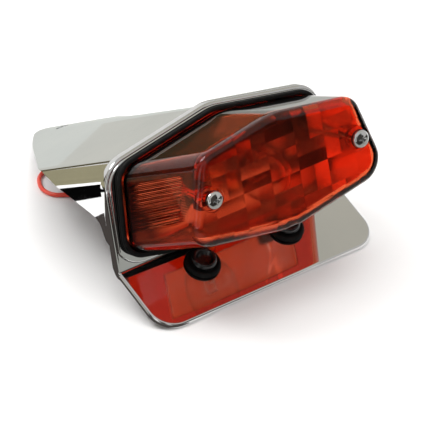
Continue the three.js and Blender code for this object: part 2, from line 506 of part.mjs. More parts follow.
// The hood's lower edge, cut for a mudguard: a curve in side view, y backwards and z up.
{
  const y0 = 0;
  const curve = [[-22, 10], [-7, 15.6], [2, 21.1], [8.5, 26.9], [13, 33.2], [16.5, 35], [22, 35.5], [56, 35.9], [68.7, 33.4], [78.6, 29.6], [100.9, 20.0], [124.7, 9.8], [141.1, 3.1], [147, 0.8], [151, 0], [190, 0]];
  const poly = [...curve, [190, -80], [-22, -80]];
  const cut = loft([poly.map(([y, z]) => [-90, y + y0, z]), poly.map(([y, z]) => [90, y + y0, z])]);
  // bring the cutter into the lens frame
  const inverse = new THREE.Matrix4().makeRotationX(-ALPHA).setPosition(0, 0, BASE_HEIGHT).invert();
  cut.applyMatrix4(inverse);
  let s = hood.subtract(toSolid(cut));
  // mudguard bolt hole through the roof near the tip
  const hole = new THREE.CylinderGeometry(3.2, 3.2, 30, 20);
  hole.rotateX(Math.PI / 2 - rad(BASE_TILT + HOOD_DROP));
  hole.translate(0, 128.5, 10.5);
  hole.applyMatrix4(inverse);
  s = s.subtract(toSolid(hole));
  add('hood', s, CHROME());
}

// ---------------------------------------------------------------- the lead
const exit = floorPoint(0, -27 - GAP, BULB_Z);
const out = new THREE.Vector3(0, Math.cos(ALPHA), -Math.sin(ALPHA));
const LOW = WIRE_R + 0.02;
const COIL = { x: 17, y: 62, z: 0.9 };
const V = (x, y, z = LOW) => new THREE.Vector3(x, y, z);
const route = [
  exit.clone(), exit.clone().addScaledVector(out, 5), exit.clone().addScaledVector(out, 9).add(V(0, 0, -0.6)),
  V(-0.5, 42.6, 37), V(-1.5, 48.5, 27.5), V(-3.5, 53.5, 16.5), V(-7, 59, 7.2), V(-12, 66.5, 2.2), V(-17.5, 75.5), V(-23, 83.8),
  V(-28.2, 89.0), V(-31.4, 91.6), V(-33.2, 95.4), V(-33.3, 100), V(-31.3, 105.4), V(-27.6, 110.4), V(-22.4, 113.2), V(-16, 112.4),
  V(-9.5, 108), V(-4.2, 100.5), V(-0.6, 92), V(1.6, 83), V(COIL.x - COIL_R - 1.1, COIL.y + 8.6, LOW + 0.9),
];
const wirePath = new THREE.CatmullRomCurve3(route, false, 'centripetal');
const wireSection = new THREE.Shape(circle(WIRE_R, 8).map(([a, b]) => new THREE.Vector2(a, b)));
const wireTube = (path, steps) => fromOpen(new THREE.ExtrudeGeometry(wireSection, { steps, extrudePath: path, bevelEnabled: false }));
const WIRE_RED = () => material(0xb01818, 0.45, 0);
add('red_wire', wireTube(wirePath, 50), WIRE_RED(), loose);
{ // coil of three turns, as one ring
  const g = new THREE.LatheGeometry([[COIL_R - 2.3, 0], [COIL_R + 2.3, 0], [COIL_R + 2.3, 2.4], [COIL_R + 1.2, 4.3], [COIL_R - 1.2, 4.3], [COIL_R - 2.3, 2.4], [COIL_R - 2.3, 0]].map(([r, h]) => new THREE.Vector2(r, h)), 32);
  g.rotateX(Math.PI / 2);
  g.translate(COIL.x, COIL.y, COIL.z);
  add('wire_coil', fromOpen(g), WIRE_RED(), loose);
  // strap round the turns
  const w = 1.25, a = COIL.x + COIL_R - 3.2, b = COIL.x + COIL_R + 3.2;
  const bx = (x0, x1, y0, y1, z0, z1) => { const q = new THREE.BoxGeometry(x1 - x0, y1 - y0, z1 - z0); q.translate((x0 + x1) / 2, (y0 + y1) / 2, (z0 + z1) / 2); return toSolid(q); };
  const tie = bx(a, b, COIL.y - w, COIL.y + w, 0.02, COIL.z + 5.2).subtract(bx(a + 0.58, b - 0.58, COIL.y - 2 * w, COIL.y + 2 * w, COIL.z - 0.3, COIL.z + 4.62));
  add('coil_tie', tie, material(0x181818, 0.6, 0), loose);
}
// short end of the wire and its bullet connector
const END_X = COIL.x - COIL_R - 0.2;
add('red_wire_end', wireTube(new THREE.CatmullRomCurve3([V(END_X - 1.0, COIL.y - 8.9, LOW + 1.6), V(END_X - 0.4, COIL.y - 12, LOW + 1.0), V(END_X, COIL.y - 15, LOW + 0.9), V(END_X, COIL.y - 18, LOW + 0.9)]), 6), WIRE_RED(), loose);
{
  const y0 = COIL.y - 18 - GAP;
  const g = new THREE.LatheGeometry([[0, 0], [1.7, 0], [1.95, 0.5], [1.95, 8.0], [1.6, 8.4], [1.6, 9.4], [2.3, 9.6], [2.3, 15.5], [1.4, 17.4], [0, 17.8]].map(([r, h]) => new THREE.Vector2(r, h)), 16);
  g.rotateX(Math.PI);
  g.translate(END_X, y0, 2.35);
  add('bullet_connector', fromOpen(g), material(0xc9a552, 0.3, 0.95), loose);
}

// ---------------------------------------------------------------- whole object, origin at the middle of the box's underside
const whole = new THREE.Group();
whole.add(lamp, loose);
const part = new THREE.Group();
part.add(whole);
part.updateMatrixWorld(true);
const bounds = new THREE.Box3().setFromObject(lamp, true);
whole.position.set(0, -(bounds.min.y + bounds.max.y) / 2, -bounds.min.z);
part.updateMatrixWorld(true);

export default part;
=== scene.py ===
import math

import bmesh
import bpy
import numpy as np
from mathutils import Matrix, Vector


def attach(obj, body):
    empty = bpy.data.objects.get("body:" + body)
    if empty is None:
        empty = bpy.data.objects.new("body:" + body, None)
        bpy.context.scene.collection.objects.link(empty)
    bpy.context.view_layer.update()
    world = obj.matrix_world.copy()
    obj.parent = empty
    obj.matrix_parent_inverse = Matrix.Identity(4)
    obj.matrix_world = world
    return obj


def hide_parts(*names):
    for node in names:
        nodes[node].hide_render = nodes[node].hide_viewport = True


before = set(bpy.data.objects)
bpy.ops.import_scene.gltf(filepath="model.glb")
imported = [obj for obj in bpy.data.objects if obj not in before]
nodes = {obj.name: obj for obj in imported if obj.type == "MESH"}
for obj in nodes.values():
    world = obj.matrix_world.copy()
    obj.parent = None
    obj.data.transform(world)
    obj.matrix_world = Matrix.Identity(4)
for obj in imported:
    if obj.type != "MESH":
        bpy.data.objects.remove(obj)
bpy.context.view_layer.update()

col = bpy.context.scene.collection

# ------------------------------------------------------------------ the lamp's own frame
# x across, d along the base normal, z up the base plane, in millimetres, as the CAD source has it
BASE_TILT = math.radians(13.4)
SHELF_SLOPE = math.radians(23.9)
FOLD = BASE_TILT + SHELF_SLOPE
Y0, H0 = -45.72292, 46.32352
CA, SA = math.cos(BASE_TILT), math.sin(BASE_TILT)
AXIS = Vector((0, -CA, SA))


def P(x, d, z):
    return (x * 0.001, (z * SA - d * CA + Y0) * 0.001, (z * CA + d * SA + H0) * 0.001)


def F(x, y, z):  # a point given from the floor under the lamp's base, y backwards
    return (x * 0.001, (y + Y0) * 0.001, z * 0.001)


# ------------------------------------------------------------------ camera
cam_data = bpy.data.cameras.new("camera")
cam = bpy.data.objects.new("camera", cam_data)
col.objects.link(cam)
bpy.context.scene.camera = cam
right = Vector((0.789273, -0.613836, -0.015923))
down = Vector((-0.328117, -0.399691, -0.855913))
back = Vector((-0.519026, -0.680773, 0.516875))
FPX, DIST = 3829.44, 1.80848
centre = Vector(P(0, 0, 0))
look = (right * (215 - 219.487) + down * (215 - 169.629) - back * FPX).normalized()
xx = look.cross(-down).normalized()
yy = xx.cross(look).normalized()
m = Matrix((xx, yy, -look)).transposed().to_4x4()
m.translation = centre + back * DIST
cam.matrix_world = m
cam_data.sensor_width = 36
cam_data.lens = FPX / 430 * 36
cam_data.clip_start, cam_data.clip_end = 0.05, 30


# ------------------------------------------------------------------ node materials
def new_mat(name):
    mat = bpy.data.materials.new(name)
    mat.use_nodes = True
    nt = mat.node_tree
    return mat, nt, nt.nodes["Principled BSDF"]


def node(nt, kind, **values):
    n = nt.nodes.new(kind)
    for k, v in values.items():
        if k in n.inputs:
            n.inputs[k].default_value = v
        else:
            setattr(n, k, v)
    return n


def ramp(nt, src, stops):
    r = nt.nodes.new("ShaderNodeValToRGB")
    els = r.color_ramp.elements
    while len(els) < len(stops):
        els.new(0.5)
    for e, (p, c) in zip(els, stops):
        e.position = p
        e.color = (*c, 1) if len(c) == 3 else c
    nt.links.new(src, r.inputs["Fac"])
    return r


def noise(nt, scale, detail=3.0, rough=0.55, stretch=None):
    tc = nt.nodes.new("ShaderNodeTexCoord")
    n = nt.nodes.new("ShaderNodeTexNoise")
    n.inputs["Scale"].default_value = scale
    n.inputs["Detail"].default_value = detail
    n.inputs["Roughness"].default_value = rough
    if stretch:
        mp = nt.nodes.new("ShaderNodeMapping")
        mp.inputs["Scale"].default_value = stretch
        nt.links.new(tc.outputs["Object"], mp.inputs["Vector"])
        nt.links.new(mp.outputs["Vector"], n.inputs["Vector"])
    else:
        nt.links.new(tc.outputs["Object"], n.inputs["Vector"])
    return n


def bump(nt, bsdf, src, strength, distance):
    b = nt.nodes.new("ShaderNodeBump")
    b.inputs["Strength"].default_value = strength
    b.inputs["Distance"].default_value = distance
    nt.links.new(src, b.inputs["Height"])
    nt.links.new(b.outputs["Normal"], bsdf.inputs["Normal"])
    return b


def surface(name, stops, rough, metallic=0.0, scale=120, detail=4, bump_strength=0.0, bump_distance=0.0001, bump_scale=None, stretch=None, coat=0.0, spec=0.5, ior=1.5, rough_scale=None):
    """A varied surface: colour over a ramp of noise, roughness between two values, and a fine relief."""
    mat, nt, b = new_mat(name)
    n = noise(nt, scale, detail, 0.6, stretch)
    r = ramp(nt, n.outputs["Fac"], stops)
    nt.links.new(r.outputs["Color"], b.inputs["Base Color"])
    n2 = noise(nt, rough_scale or scale * 0.4, 5, 0.6, stretch)
    rr = ramp(nt, n2.outputs["Fac"], [(0.3, (rough[0],) * 3), (0.72, (rough[1],) * 3)])
    nt.links.new(rr.outputs["Color"], b.inputs["Roughness"])
    b.inputs["Metallic"].default_value = metallic
    b.inputs["Specular IOR Level"].default_value = spec
    b.inputs["IOR"].default_value = ior
    if coat:
        b.inputs["Coat Weight"].default_value = coat
        b.inputs["Coat Roughness"].default_value = 0.06
    if bump_strength:
        n3 = noise(nt, bump_scale or scale * 2, 6, 0.65, stretch)
        bump(nt, b, n3.outputs["Fac"], bump_strength, bump_distance)
    return mat


chrome = surface("chrome", [(0.3, (0.80, 0.81, 0.82)), (0.7, (0.87, 0.87, 0.87))], (0.02, 0.055), 1.0, scale=22, bump_strength=0.05, bump_distance=0.0001, bump_scale=45, rough_scale=60)
chrome_screw = surface("chrome_screw", [(0.3, (0.80, 0.81, 0.82)), (0.7, (0.88, 0.88, 0.88))], (0.04, 0.12), 1.0, scale=500, bump_strength=0.04, bump_distance=0.00005, bump_scale=900)
zinc = surface("zinc_steel", [(0.3, (0.55, 0.56, 0.58)), (0.7, (0.70, 0.69, 0.66))], (0.22, 0.42), 1.0, scale=300, bump_strength=0.08, bump_distance=0.00008, bump_scale=900)
# painted light on the plate behind the bulb: each patch is x, z centre and half width, half height in mm
PAINTED_LIGHT_PATCHES = [(2, -16.5, 46, 6.5)]
# the plate behind the bulb: dark all over as painted shade of the lamp's inside, with painted light as bright patches
# at its corners
reflector, nt, b = new_mat("reflector_plate")
tc = nt.nodes.new("ShaderNodeTexCoord")
painted_light = None
for px, pz, hx, hz in PAINTED_LIGHT_PATCHES:
    d = nt.nodes.new("ShaderNodeVectorMath")
    d.operation = "SUBTRACT"
    nt.links.new(tc.outputs["Object"], d.inputs[0])
    d.inputs[1].default_value = P(px, 1.5, pz)
    ab = nt.nodes.new("ShaderNodeVectorMath")
    ab.operation = "ABSOLUTE"
    nt.links.new(d.outputs["Vector"], ab.inputs[0])
    sc = nt.nodes.new("ShaderNodeVectorMath")
    sc.operation = "DIVIDE"
    nt.links.new(ab.outputs["Vector"], sc.inputs[0])
    sc.inputs[1].default_value = (hx * 0.001, 1.0, hz * 0.001)
    sp_ = nt.nodes.new("ShaderNodeSeparateXYZ")
    nt.links.new(sc.outputs["Vector"], sp_.inputs[0])
    mx = nt.nodes.new("ShaderNodeMath")
    mx.operation = "MAXIMUM"
    nt.links.new(sp_.outputs["X"], mx.inputs[0])
    nt.links.new(sp_.outputs["Z"], mx.inputs[1])
    rr = ramp(nt, mx.outputs[0], [(0.78, (1, 1, 1)), (1.0, (0, 0, 0))])
    if painted_light is None:
        painted_light = rr.outputs["Color"]
    else:
        add = nt.nodes.new("ShaderNodeMath")
        add.operation = "MAXIMUM"
        nt.links.new(painted_light, add.inputs[0])
        nt.links.new(rr.outputs["Color"], add.inputs[1])
        painted_light = add.outputs[0]
n = noise(nt, 90, 4, 0.6)
wob = ramp(nt, n.outputs["Fac"], [(0.3, (0.8, 0.8, 0.8)), (0.7, (1, 1, 1))])
mixer = nt.nodes.new("ShaderNodeMath")
mixer.operation = "MULTIPLY"
nt.links.new(painted_light, mixer.inputs[0])
nt.links.new(wob.outputs["Color"], mixer.inputs[1])
# the plate's colour: near black as painted shade, near white inside the painted light patches
shade_and_light_colour = ramp(nt, mixer.outputs[0], [(0.0, (0.05, 0.045, 0.04)), (1.0, (0.96, 0.96, 0.95))])
nt.links.new(shade_and_light_colour.outputs["Color"], b.inputs["Base Color"])
ro = ramp(nt, mixer.outputs[0], [(0.0, (0.3, 0.3, 0.3)), (1.0, (0.34, 0.34, 0.34))])
nt.links.new(ro.outputs["Color"], b.inputs["Roughness"])
b.inputs["Metallic"].default_value = 0.95
n3 = noise(nt, 180, 5, 0.6)
bump(nt, b, n3.outputs["Fac"], 0.1, 0.0002)
rubber = surface("black_rubber", [(0.3, (0.0035, 0.0035, 0.0035)), (0.75, (0.010, 0.0095, 0.0095))], (0.5, 0.68), 0.0, scale=400, bump_strength=0.16, bump_distance=0.00008, bump_scale=1600, spec=0.14)
black_gloss = surface("black_gloss", [(0.3, (0.004, 0.004, 0.005)), (0.75, (0.012, 0.011, 0.012))], (0.12, 0.26), 0.0, scale=350, bump_strength=0.05, bump_distance=0.00005, bump_scale=900, coat=0.3)
brass = surface("brass", [(0.3, (0.62, 0.42, 0.16)), (0.7, (0.78, 0.60, 0.28))], (0.2, 0.4), 1.0, scale=260, bump_strength=0.06, bump_distance=0.00006, bump_scale=800)
fibre = surface("brown_fibre", [(0.3, (0.16, 0.08, 0.035)), (0.7, (0.27, 0.15, 0.07))], (0.45, 0.65), 0.0, scale=500, bump_strength=0.15, bump_distance=0.00008, bump_scale=1100)
wire_red = surface("red_insulation", [(0.3, (0.70, 0.045, 0.022)), (0.7, (0.80, 0.07, 0.035))], (0.28, 0.42), 0.0, scale=300, bump_strength=0.06, bump_distance=0.00006, bump_scale=1200, coat=0.15)
filament = surface("filament_wire", [(0.3, (0.55, 0.55, 0.54)), (0.7, (0.72, 0.71, 0.69))], (0.2, 0.4), 0.9, scale=600, bump_strength=0.04, bump_distance=0.00003)


def clear(name, colour, rough=0.015, ior=1.49, wave=0.0, wave_scale=30, spread=3.0, prisms=False):
    mat, nt, b = new_mat(name)
    n = noise(nt, 70, 4, 0.6)
    lo_c = tuple(c * 0.94 for c in colour)
    r = ramp(nt, n.outputs["Fac"], [(0.3, lo_c), (0.7, colour)])
    nt.links.new(r.outputs["Color"], b.inputs["Base Color"])
    n2 = noise(nt, 50, 5, 0.6)
    rr = ramp(nt, n2.outputs["Fac"], [(0.35, (rough,) * 3), (0.75, (rough * spread,) * 3)])
    nt.links.new(rr.outputs["Color"], b.inputs["Roughness"])
    b.inputs["Transmission Weight"].default_value = 1.0
    b.inputs["IOR"].default_value = ior
    if wave:
        n3 = noise(nt, wave_scale, 2, 0.4)
        wave_bump = bump(nt, b, n3.outputs["Fac"], wave, 0.0004)
    if prisms:
        # moulded optics: broad shallow prisms, upright and lying by turns
        tc = nt.nodes.new("ShaderNodeTexCoord")
        mp = nt.nodes.new("ShaderNodeMapping")
        mp.inputs["Rotation"].default_value = (-BASE_TILT, 0, 0)
        nt.links.new(tc.outputs["Object"], mp.inputs["Vector"])
        se = nt.nodes.new("ShaderNodeSeparateXYZ")
        nt.links.new(mp.outputs["Vector"], se.inputs[0])
        cell = {}
        saw = {}
        for k, size in (("X", 0.0165), ("Z", 0.0115)):
            a = nt.nodes.new("ShaderNodeMath"); a.operation = "PINGPONG"
            nt.links.new(se.outputs[k], a.inputs[0]); a.inputs[1].default_value = size
            g = nt.nodes.new("ShaderNodeMath"); g.operation = "GREATER_THAN"
            nt.links.new(a.outputs[0], g.inputs[0]); g.inputs[1].default_value = size / 2
            cell[k] = g.outputs[0]
            q = nt.nodes.new("ShaderNodeMath"); q.operation = "PINGPONG"
            nt.links.new(se.outputs[k], q.inputs[0]); q.inputs[1].default_value = size
            w = nt.nodes.new("ShaderNodeMath"); w.operation = "DIVIDE"
            nt.links.new(q.outputs[0], w.inputs[0]); w.inputs[1].default_value = 0.01
            saw[k] = w.outputs[0]
        df = nt.nodes.new("ShaderNodeMath"); df.operation = "SUBTRACT"
        nt.links.new(cell["X"], df.inputs[0]); nt.links.new(cell["Z"], df.inputs[1])
        sel = nt.nodes.new("ShaderNodeMath"); sel.operation = "ABSOLUTE"
        nt.links.new(df.outputs[0], sel.inputs[0])
        mixer = nt.nodes.new("ShaderNodeMix")
        mixer.data_type = "FLOAT"
        nt.links.new(sel.outputs[0], mixer.inputs[0])
        nt.links.new(saw["X"], mixer.inputs[2]); nt.links.new(saw["Z"], mixer.inputs[3])
        bump(nt, b, mixer.outputs[0], 1.0, 0.0014)
    return mat


red_lens = clear("red_lens", (0.86, 0.125, 0.045), 0.012, 1.49, wave=0.10, wave_scale=26)
red_inner = clear("red_lens_inside", (0.86, 0.125, 0.045), 0.19, 1.49, spread=1.25, prisms=True)
red_frost = clear("red_lens_frost", (0.86, 0.125, 0.045), 0.13, 1.49, spread=1.2)
clear_plastic = clear("clear_plastic", (0.94, 0.66, 0.56), 0.09, 1.3, wave=0.3, wave_scale=120)
glass = clear("bulb_glass", (0.97, 0.98, 0.98), 0.005, 1.45)


# ------------------------------------------------------------------ mesh helpers
def finish_mesh(name, me, mat, body, replaced=(), sharp=32):
    bm = bmesh.new()
    bm.from_mesh(me)
    bmesh.ops.remove_doubles(bm, verts=bm.verts, dist=1e-7)
    bmesh.ops.dissolve_degenerate(bm, dist=1e-7, edges=bm.edges)
    bmesh.ops.recalc_face_normals(bm, faces=bm.faces)
    bm.to_mesh(me)
    bm.free()
    me.polygons.foreach_set("use_smooth", [True] * len(me.polygons))
    if sharp:
        me.set_sharp_from_angle(angle=math.radians(sharp))
    ob = bpy.data.objects.new(name, me)
    col.objects.link(ob)
    me.materials.clear()
    me.materials.append(mat)
    if replaced:
        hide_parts(*replaced)
    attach(ob, body)
    return ob


def mesh_from(name, verts, faces):
    me = bpy.data.meshes.new(name)
    me.from_pydata(verts, [], faces)
    me.update()
    return me


def ring_mesh(name, rings, wrap=False, cap0=True, cap1=True):
    """A closed body over rings of the same number of points."""
    n = len(rings[0])
    verts = [tuple(p) for r in rings for p in r]
    faces = []
    k = len(rings)
    for a in range(k if wrap else k - 1):
        b = (a + 1) % k
        for i in range(n):
            j = (i + 1) % n
            faces.append((a * n + i, a * n + j, b * n + j, b * n + i))
    if not wrap:
        if cap0:
            faces.append(tuple(reversed(range(n))))
        if cap1:
            faces.append(tuple((k - 1) * n + i for i in range(n)))
    return mesh_from(name, verts, faces)


def boolean(me, cutters, op="DIFFERENCE"):
    """Cuts or joins closed meshes exactly and returns the new mesh."""
    a = bpy.data.objects.new("tmp_a", me)
    col.objects.link(a)
    made = []
    for c in cutters:
        b = bpy.data.objects.new("tmp_b", c)
        col.objects.link(b)
        made.append(b)
        md = a.modifiers.new("cut", "BOOLEAN")
        md.operation = op
        md.solver = "EXACT"
        md.object = b
    bpy.context.view_layer.update()
    dg = bpy.context.evaluated_depsgraph_get()
    out = bpy.data.meshes.new_from_object(a.evaluated_get(dg))
    for o in [a, *made]:
        bpy.data.objects.remove(o)
    return out


def grow(points, by):
    n = len(points)
    area = sum(p[0] * points[(i + 1) % n][1] - points[(i + 1) % n][0] * p[1] for i, p in enumerate(points))
    turn = 1 if area > 0 else -1
    lines = []
    for i, p in enumerate(points):
        q = points[(i + 1) % n]
        dx, dy = q[0] - p[0], q[1] - p[1]
        l = math.hypot(dx, dy)
        k = by[i] if isinstance(by, (list, tuple)) else by
        lines.append((p[0] + turn * dy / l * k, p[1] - turn * dx / l * k, dx, dy))
    out = []
    for i in range(n):
        a, b = lines[i - 1], lines[i]
        det = a[2] * b[3] - a[3] * b[2]
        t = ((b[0] - a[0]) * b[3] - (b[1] - a[1]) * b[2]) / det
        out.append((a[0] + a[2] * t, a[1] + a[3] * t))
    return out


def rounded(points, radii, steps=12, along=None):
    """The polygon with round corners. along gives extra points on the straight after each corner."""
    n = len(points)
    corners = []
    for i in range(n):
        p = Vector(points[i])
        a = Vector(points[i - 1]) - p
        b = Vector(points[(i + 1) % n]) - p
        la, lb = a.length, b.length
        a.normalize(); b.normalize()
        half = math.acos(max(-1, min(1, a.dot(b)))) / 2
        r = max(0.05, radii[i] if isinstance(radii, (list, tuple)) else radii)
        reach = min(r / math.tan(half), la * 0.46, lb * 0.46)
        rr = reach * math.tan(half)
        c = p + (a + b).normalized() * (rr / math.sin(half))
        s, e = p + a * reach - c, p + b * reach - c
        t0, t1 = math.atan2(s.y, s.x), math.atan2(e.y, e.x)
        if t1 - t0 > math.pi:
            t1 -= 2 * math.pi
        if t0 - t1 > math.pi:
            t1 += 2 * math.pi
        corners.append([(c.x + rr * math.cos(t0 + (t1 - t0) * k / steps), c.y + rr * math.sin(t0 + (t1 - t0) * k / steps)) for k in range(steps + 1)])
    out = []
    for i in range(n):
        out += corners[i]
        k = along[i] if along else 0
        a, b = corners[i][-1], corners[(i + 1) % n][0]
        for j in range(1, k + 1):
            t = j / (k + 1)
            out.append((a[0] + (b[0] - a[0]) * t, a[1] + (b[1] - a[1]) * t))
    return out


def even(points, count):
    """The outline sampled at even steps along its length."""
    p = np.array(points)
    q = np.vstack([p, p[:1]])
    seg = np.hypot(*(q[1:] - q[:-1]).T)
    s = np.concatenate([[0], np.cumsum(seg)])
    t = np.linspace(0, s[-1], count, endpoint=False)
    return np.stack([np.interp(t, s, q[:, 0]), np.interp(t, s, q[:, 1])], 1)


def polar(points, angles, c=(0.0, 4.0)):
    """Where rays from c at the given angles meet the outline."""
    p = np.array(points) - c
    q = np.roll(p, -1, axis=0)
    out = []
    e = q - p
    for t in angles:
        u = np.array((math.cos(t), math.sin(t)))
        den = u[0] * e[:, 1] - u[1] * e[:, 0]
        with np.errstate(divide="ignore", invalid="ignore"):
            k = (p[:, 0] * e[:, 1] - p[:, 1] * e[:, 0]) / den
            w = (p[:, 0] * u[1] - p[:, 1] * u[0]) / den
        ok = (np.abs(den) > 1e-12) & (k > 0) & (w > -1e-9) & (w < 1 + 1e-9)
        out.append(tuple(u * k[ok].max() + c))
    return out


def circle(r, n, x=0.0, z=0.0, turn=0.0):
    return [(x + r * math.cos(turn + 2 * math.pi * i / n), z + r * math.sin(turn + 2 * math.pi * i / n)) for i in range(n)]


def lathe(profile, n=64, x=0.0, z=0.0, place=None):
    """A body of revolution about the line along d through (x, z); profile is radius, depth."""
    place = place or (lambda a, d, b: P(a, d, b))
    rings = []
    for r, d in profile:
        rings.append([place(px, d, pz) for px, pz in circle(max(r, 1e-4), n, x, z)])
    closed = profile[0] == profile[-1]
    if closed:
        rings = rings[:-1]
    return ring_mesh("lathe", rings, wrap=closed)


def smooth_profile(points, radius=0.25, steps=4):
    """Rounds the inner corners of an open profile."""
    out = [points[0]]
    for i in range(1, len(points) - 1):
        p, a, b = Vector(points[i]), Vector(points[i - 1]), Vector(points[i + 1])
        u, v = a - p, b - p
        if u.length < 1e-6 or v.length < 1e-6:
            out.append(points[i]); continue
        ang = u.angle(v)
        if ang > math.radians(176):
            out.append(points[i]); continue
        k = min(radius, u.length * 0.45, v.length * 0.45)
        s, e = p + u.normalized() * k, p + v.normalized() * k
        for j in range(steps + 1):
            t = j / steps
            q = s * (1 - t) ** 2 + p * 2 * t * (1 - t) + e * t * t
            out.append((q.x, q.y))
    out.append(points[-1])
    return out


def box_mesh(x0, x1, d0, d1, z0, z1, place=P):
    v = [place(x, d, z) for x in (x0, x1) for d in (d0, d1) for z in (z0, z1)]
    f = [(0, 1, 3, 2), (4, 6, 7, 5), (0, 4, 5, 1), (2, 3, 7, 6), (0, 2, 6, 4), (1, 5, 7, 3)]
    me = mesh_from("box", v, f)
    bm = bmesh.new(); bm.from_mesh(me)
    bmesh.ops.recalc_face_normals(bm, faces=bm.faces)
    bm.to_mesh(me); bm.free()
    return me


def oriented(me):
    bm = bmesh.new(); bm.from_mesh(me)
    bmesh.ops.remove_doubles(bm, verts=bm.verts, dist=1e-7)
    bmesh.ops.recalc_face_normals(bm, faces=bm.faces)
    bm.to_mesh(me); bm.free()
    return me


# ------------------------------------------------------------------ outlines, as the CAD source has them
TOP_HALF, TOP_CORNER_Z, PEAK_Z, LOW_HALF, LOW_CORNER_Z, FLAT_HALF, FLAT_Z = 59.3, 22.6, 33.0, 63.2, -22.8, 36.0, -28.7
BEND_Z, SHELF_HALF, SHELF_LENGTH, SHELF_LIP, SHELF_CORNER_R, EDGE_DEPTH = -29.6, 65.4, 37.4, 2.6, 13.0, 4.6
SHEET, SEAT, GAP = 1.5, 1.0, 0.3
HOOD_WALL, HOOD_LENGTH, HOOD_FLANGE = 1.6, 161.0, 1.8
HOOD_FRONT = -SHEET - GAP
DROP = math.tan(math.radians(15.3))
GASKET_FRONT, LENS_BASE_D, LENS_DEPTH, FACE_SHIFT, LENS_WALL = 4.4, 2.9, 55.5, 11.6, 2.4
SCREW_HALF, SCREW_Z, SCREW_SEAT_D, BULB_Z = 43.0, 11.9, 54.8, 4.0
BOLT_HALF, BOLT_L = 25.1, 12.4
HEX = [(0, PEAK_Z), (TOP_HALF, TOP_CORNER_Z), (LOW_HALF, LOW_CORNER_Z), (FLAT_HALF, FLAT_Z), (-FLAT_HALF, FLAT_Z), (-LOW_HALF, LOW_CORNER_Z), (-TOP_HALF, TOP_CORNER_Z)]
HEX_R = [26, 12, 12, 20, 20, 12, 12]


def hexa(by, steps=20):
    return rounded(grow(HEX, by), [max(2, r + by) for r in HEX_R], steps)


ANGLES = [math.atan2(z - BULB_Z, x) for x, z in even(hexa(0), 540)]

# ------------------------------------------------------------------ number plate bracket: one folded sheet
OUT = [(0, PEAK_Z + 1.1), (TOP_HALF + 4.7, TOP_CORNER_Z + 0.2), (SHELF_HALF, BEND_Z), (SHELF_HALF, BEND_Z - SHELF_LENGTH), (-SHELF_HALF, BEND_Z - SHELF_LENGTH), (-SHELF_HALF, BEND_Z), (-TOP_HALF - 4.7, TOP_CORNER_Z + 0.2)]
OUT_R = [27, 15, 0.05, SHELF_CORNER_R, SHELF_CORNER_R, 0.05, 15]


def flat_outline(by):
    r = [max(0.05, k + by) if k > 1 else 0.05 for k in OUT_R]
    return rounded(grow(OUT, by), r, 24)


BEND_R = 1.5
TANG = BEND_R * math.tan((math.pi / 2 - FOLD) / 2)


def fold(x, z, u):
    """From the flat sheet (x, z, height u) to the folded one."""
    l = BEND_Z - z
    if l <= -TANG:
        return P(x, u, z)
    if l >= TANG:
        d = l * math.cos(FOLD) + u * math.sin(FOLD)
        return P(x, d, BEND_Z - l * math.sin(FOLD) + u * math.cos(FOLD))
    t = (l + TANG) / (2 * TANG) * (math.pi / 2 - FOLD)
    k = BEND_R - u
    return P(x, BEND_R - k * math.cos(t), BEND_Z + TANG - k * math.sin(t))


def bracket_mesh():
    base = even(flat_outline(0), 720)
    ang = [math.atan2(z - BULB_Z, x) for x, z in base]
    # finer sampling round the shelf's front corners and the top corners comes from even steps
    prof = []  # offset inwards, share of the edge depth, height
    edge = [(1.15, 1.0, 0.0), (0.75, 1.0, 0.0), (0.35, 1.0, 0.05), (0.1, 1.0, 0.2), (0.0, 1.0, 0.5)]
    rows = []
    for off, share, lift in edge:
        rows.append((off, "deep", lift))
    for k in range(9):
        a = math.pi / 2 * k / 8
        rows.append((1.5 * (1 - math.cos(a)), "top", -1.5 * (1 - math.sin(a))))
    rows += [(1.6, "top", 0.0), (4.0, "top", 0.0)]
    outlines = {}

    def ring(off):
        if off not in outlines:
            outlines[off] = polar(flat_outline(-off), ang)
        return outlines[off]

    def depth(z):
        t = min(1, max(0, (BEND_Z + 2 - z) / 4))
        return -(EDGE_DEPTH + (SHELF_LIP - EDGE_DEPTH) * t)

    rings = []
    for off, kind, h in rows:
        rings.append([(x, z, depth(z) + h if kind == "deep" else h) for x, z in ring(off)])
    hole = [(14.5 * math.cos(a), BULB_Z + 14.5 * math.sin(a)) for a in ang]
    rings.append([(x, z, 0.0) for x, z in hole])
    rings.append([(x, z, -SHEET) for x, z in hole])
    rings.append([(x, z, -SHEET) for x, z in ring(2.4)])
    rings.append([(x, z, -SHEET - 0.35) for x, z in ring(1.75)])
    rings.append([(x, z, -SHEET - 0.9) for x, z in ring(1.5)])
    rings.append([(x, z, depth(z) + 0.2) for x, z in ring(1.42)])
    n = len(ang)
    verts = [p for r in rings for p in r]
    faces = []
    k = len(rings)
    for a in range(k):
        b = (a + 1) % k
        for i in range(n):
            j = (i + 1) % n
            faces.append((a * n + i, a * n + j, b * n + j, b * n + i))
    me = mesh_from("bracket", verts, faces)
    bm = bmesh.new()
    bm.from_mesh(me)
    for i in range(-6, 7):
        z = BEND_Z + TANG * i / 6 * 0.999
        bmesh.ops.bisect_plane(bm, geom=bm.verts[:] + bm.edges[:] + bm.faces[:], plane_co=(0, z, 0), plane_no=(0, 1, 0), dist=1e-5)
    for v in bm.verts:
        v.co = Vector(fold(v.co.x, v.co.y, v.co.z))
    bm.to_mesh(me)
    bm.free()
    return me


bracket = finish_mesh("bracket_stamping", bracket_mesh(), chrome, "lamp_body", ["number_plate_bracket"], 40)


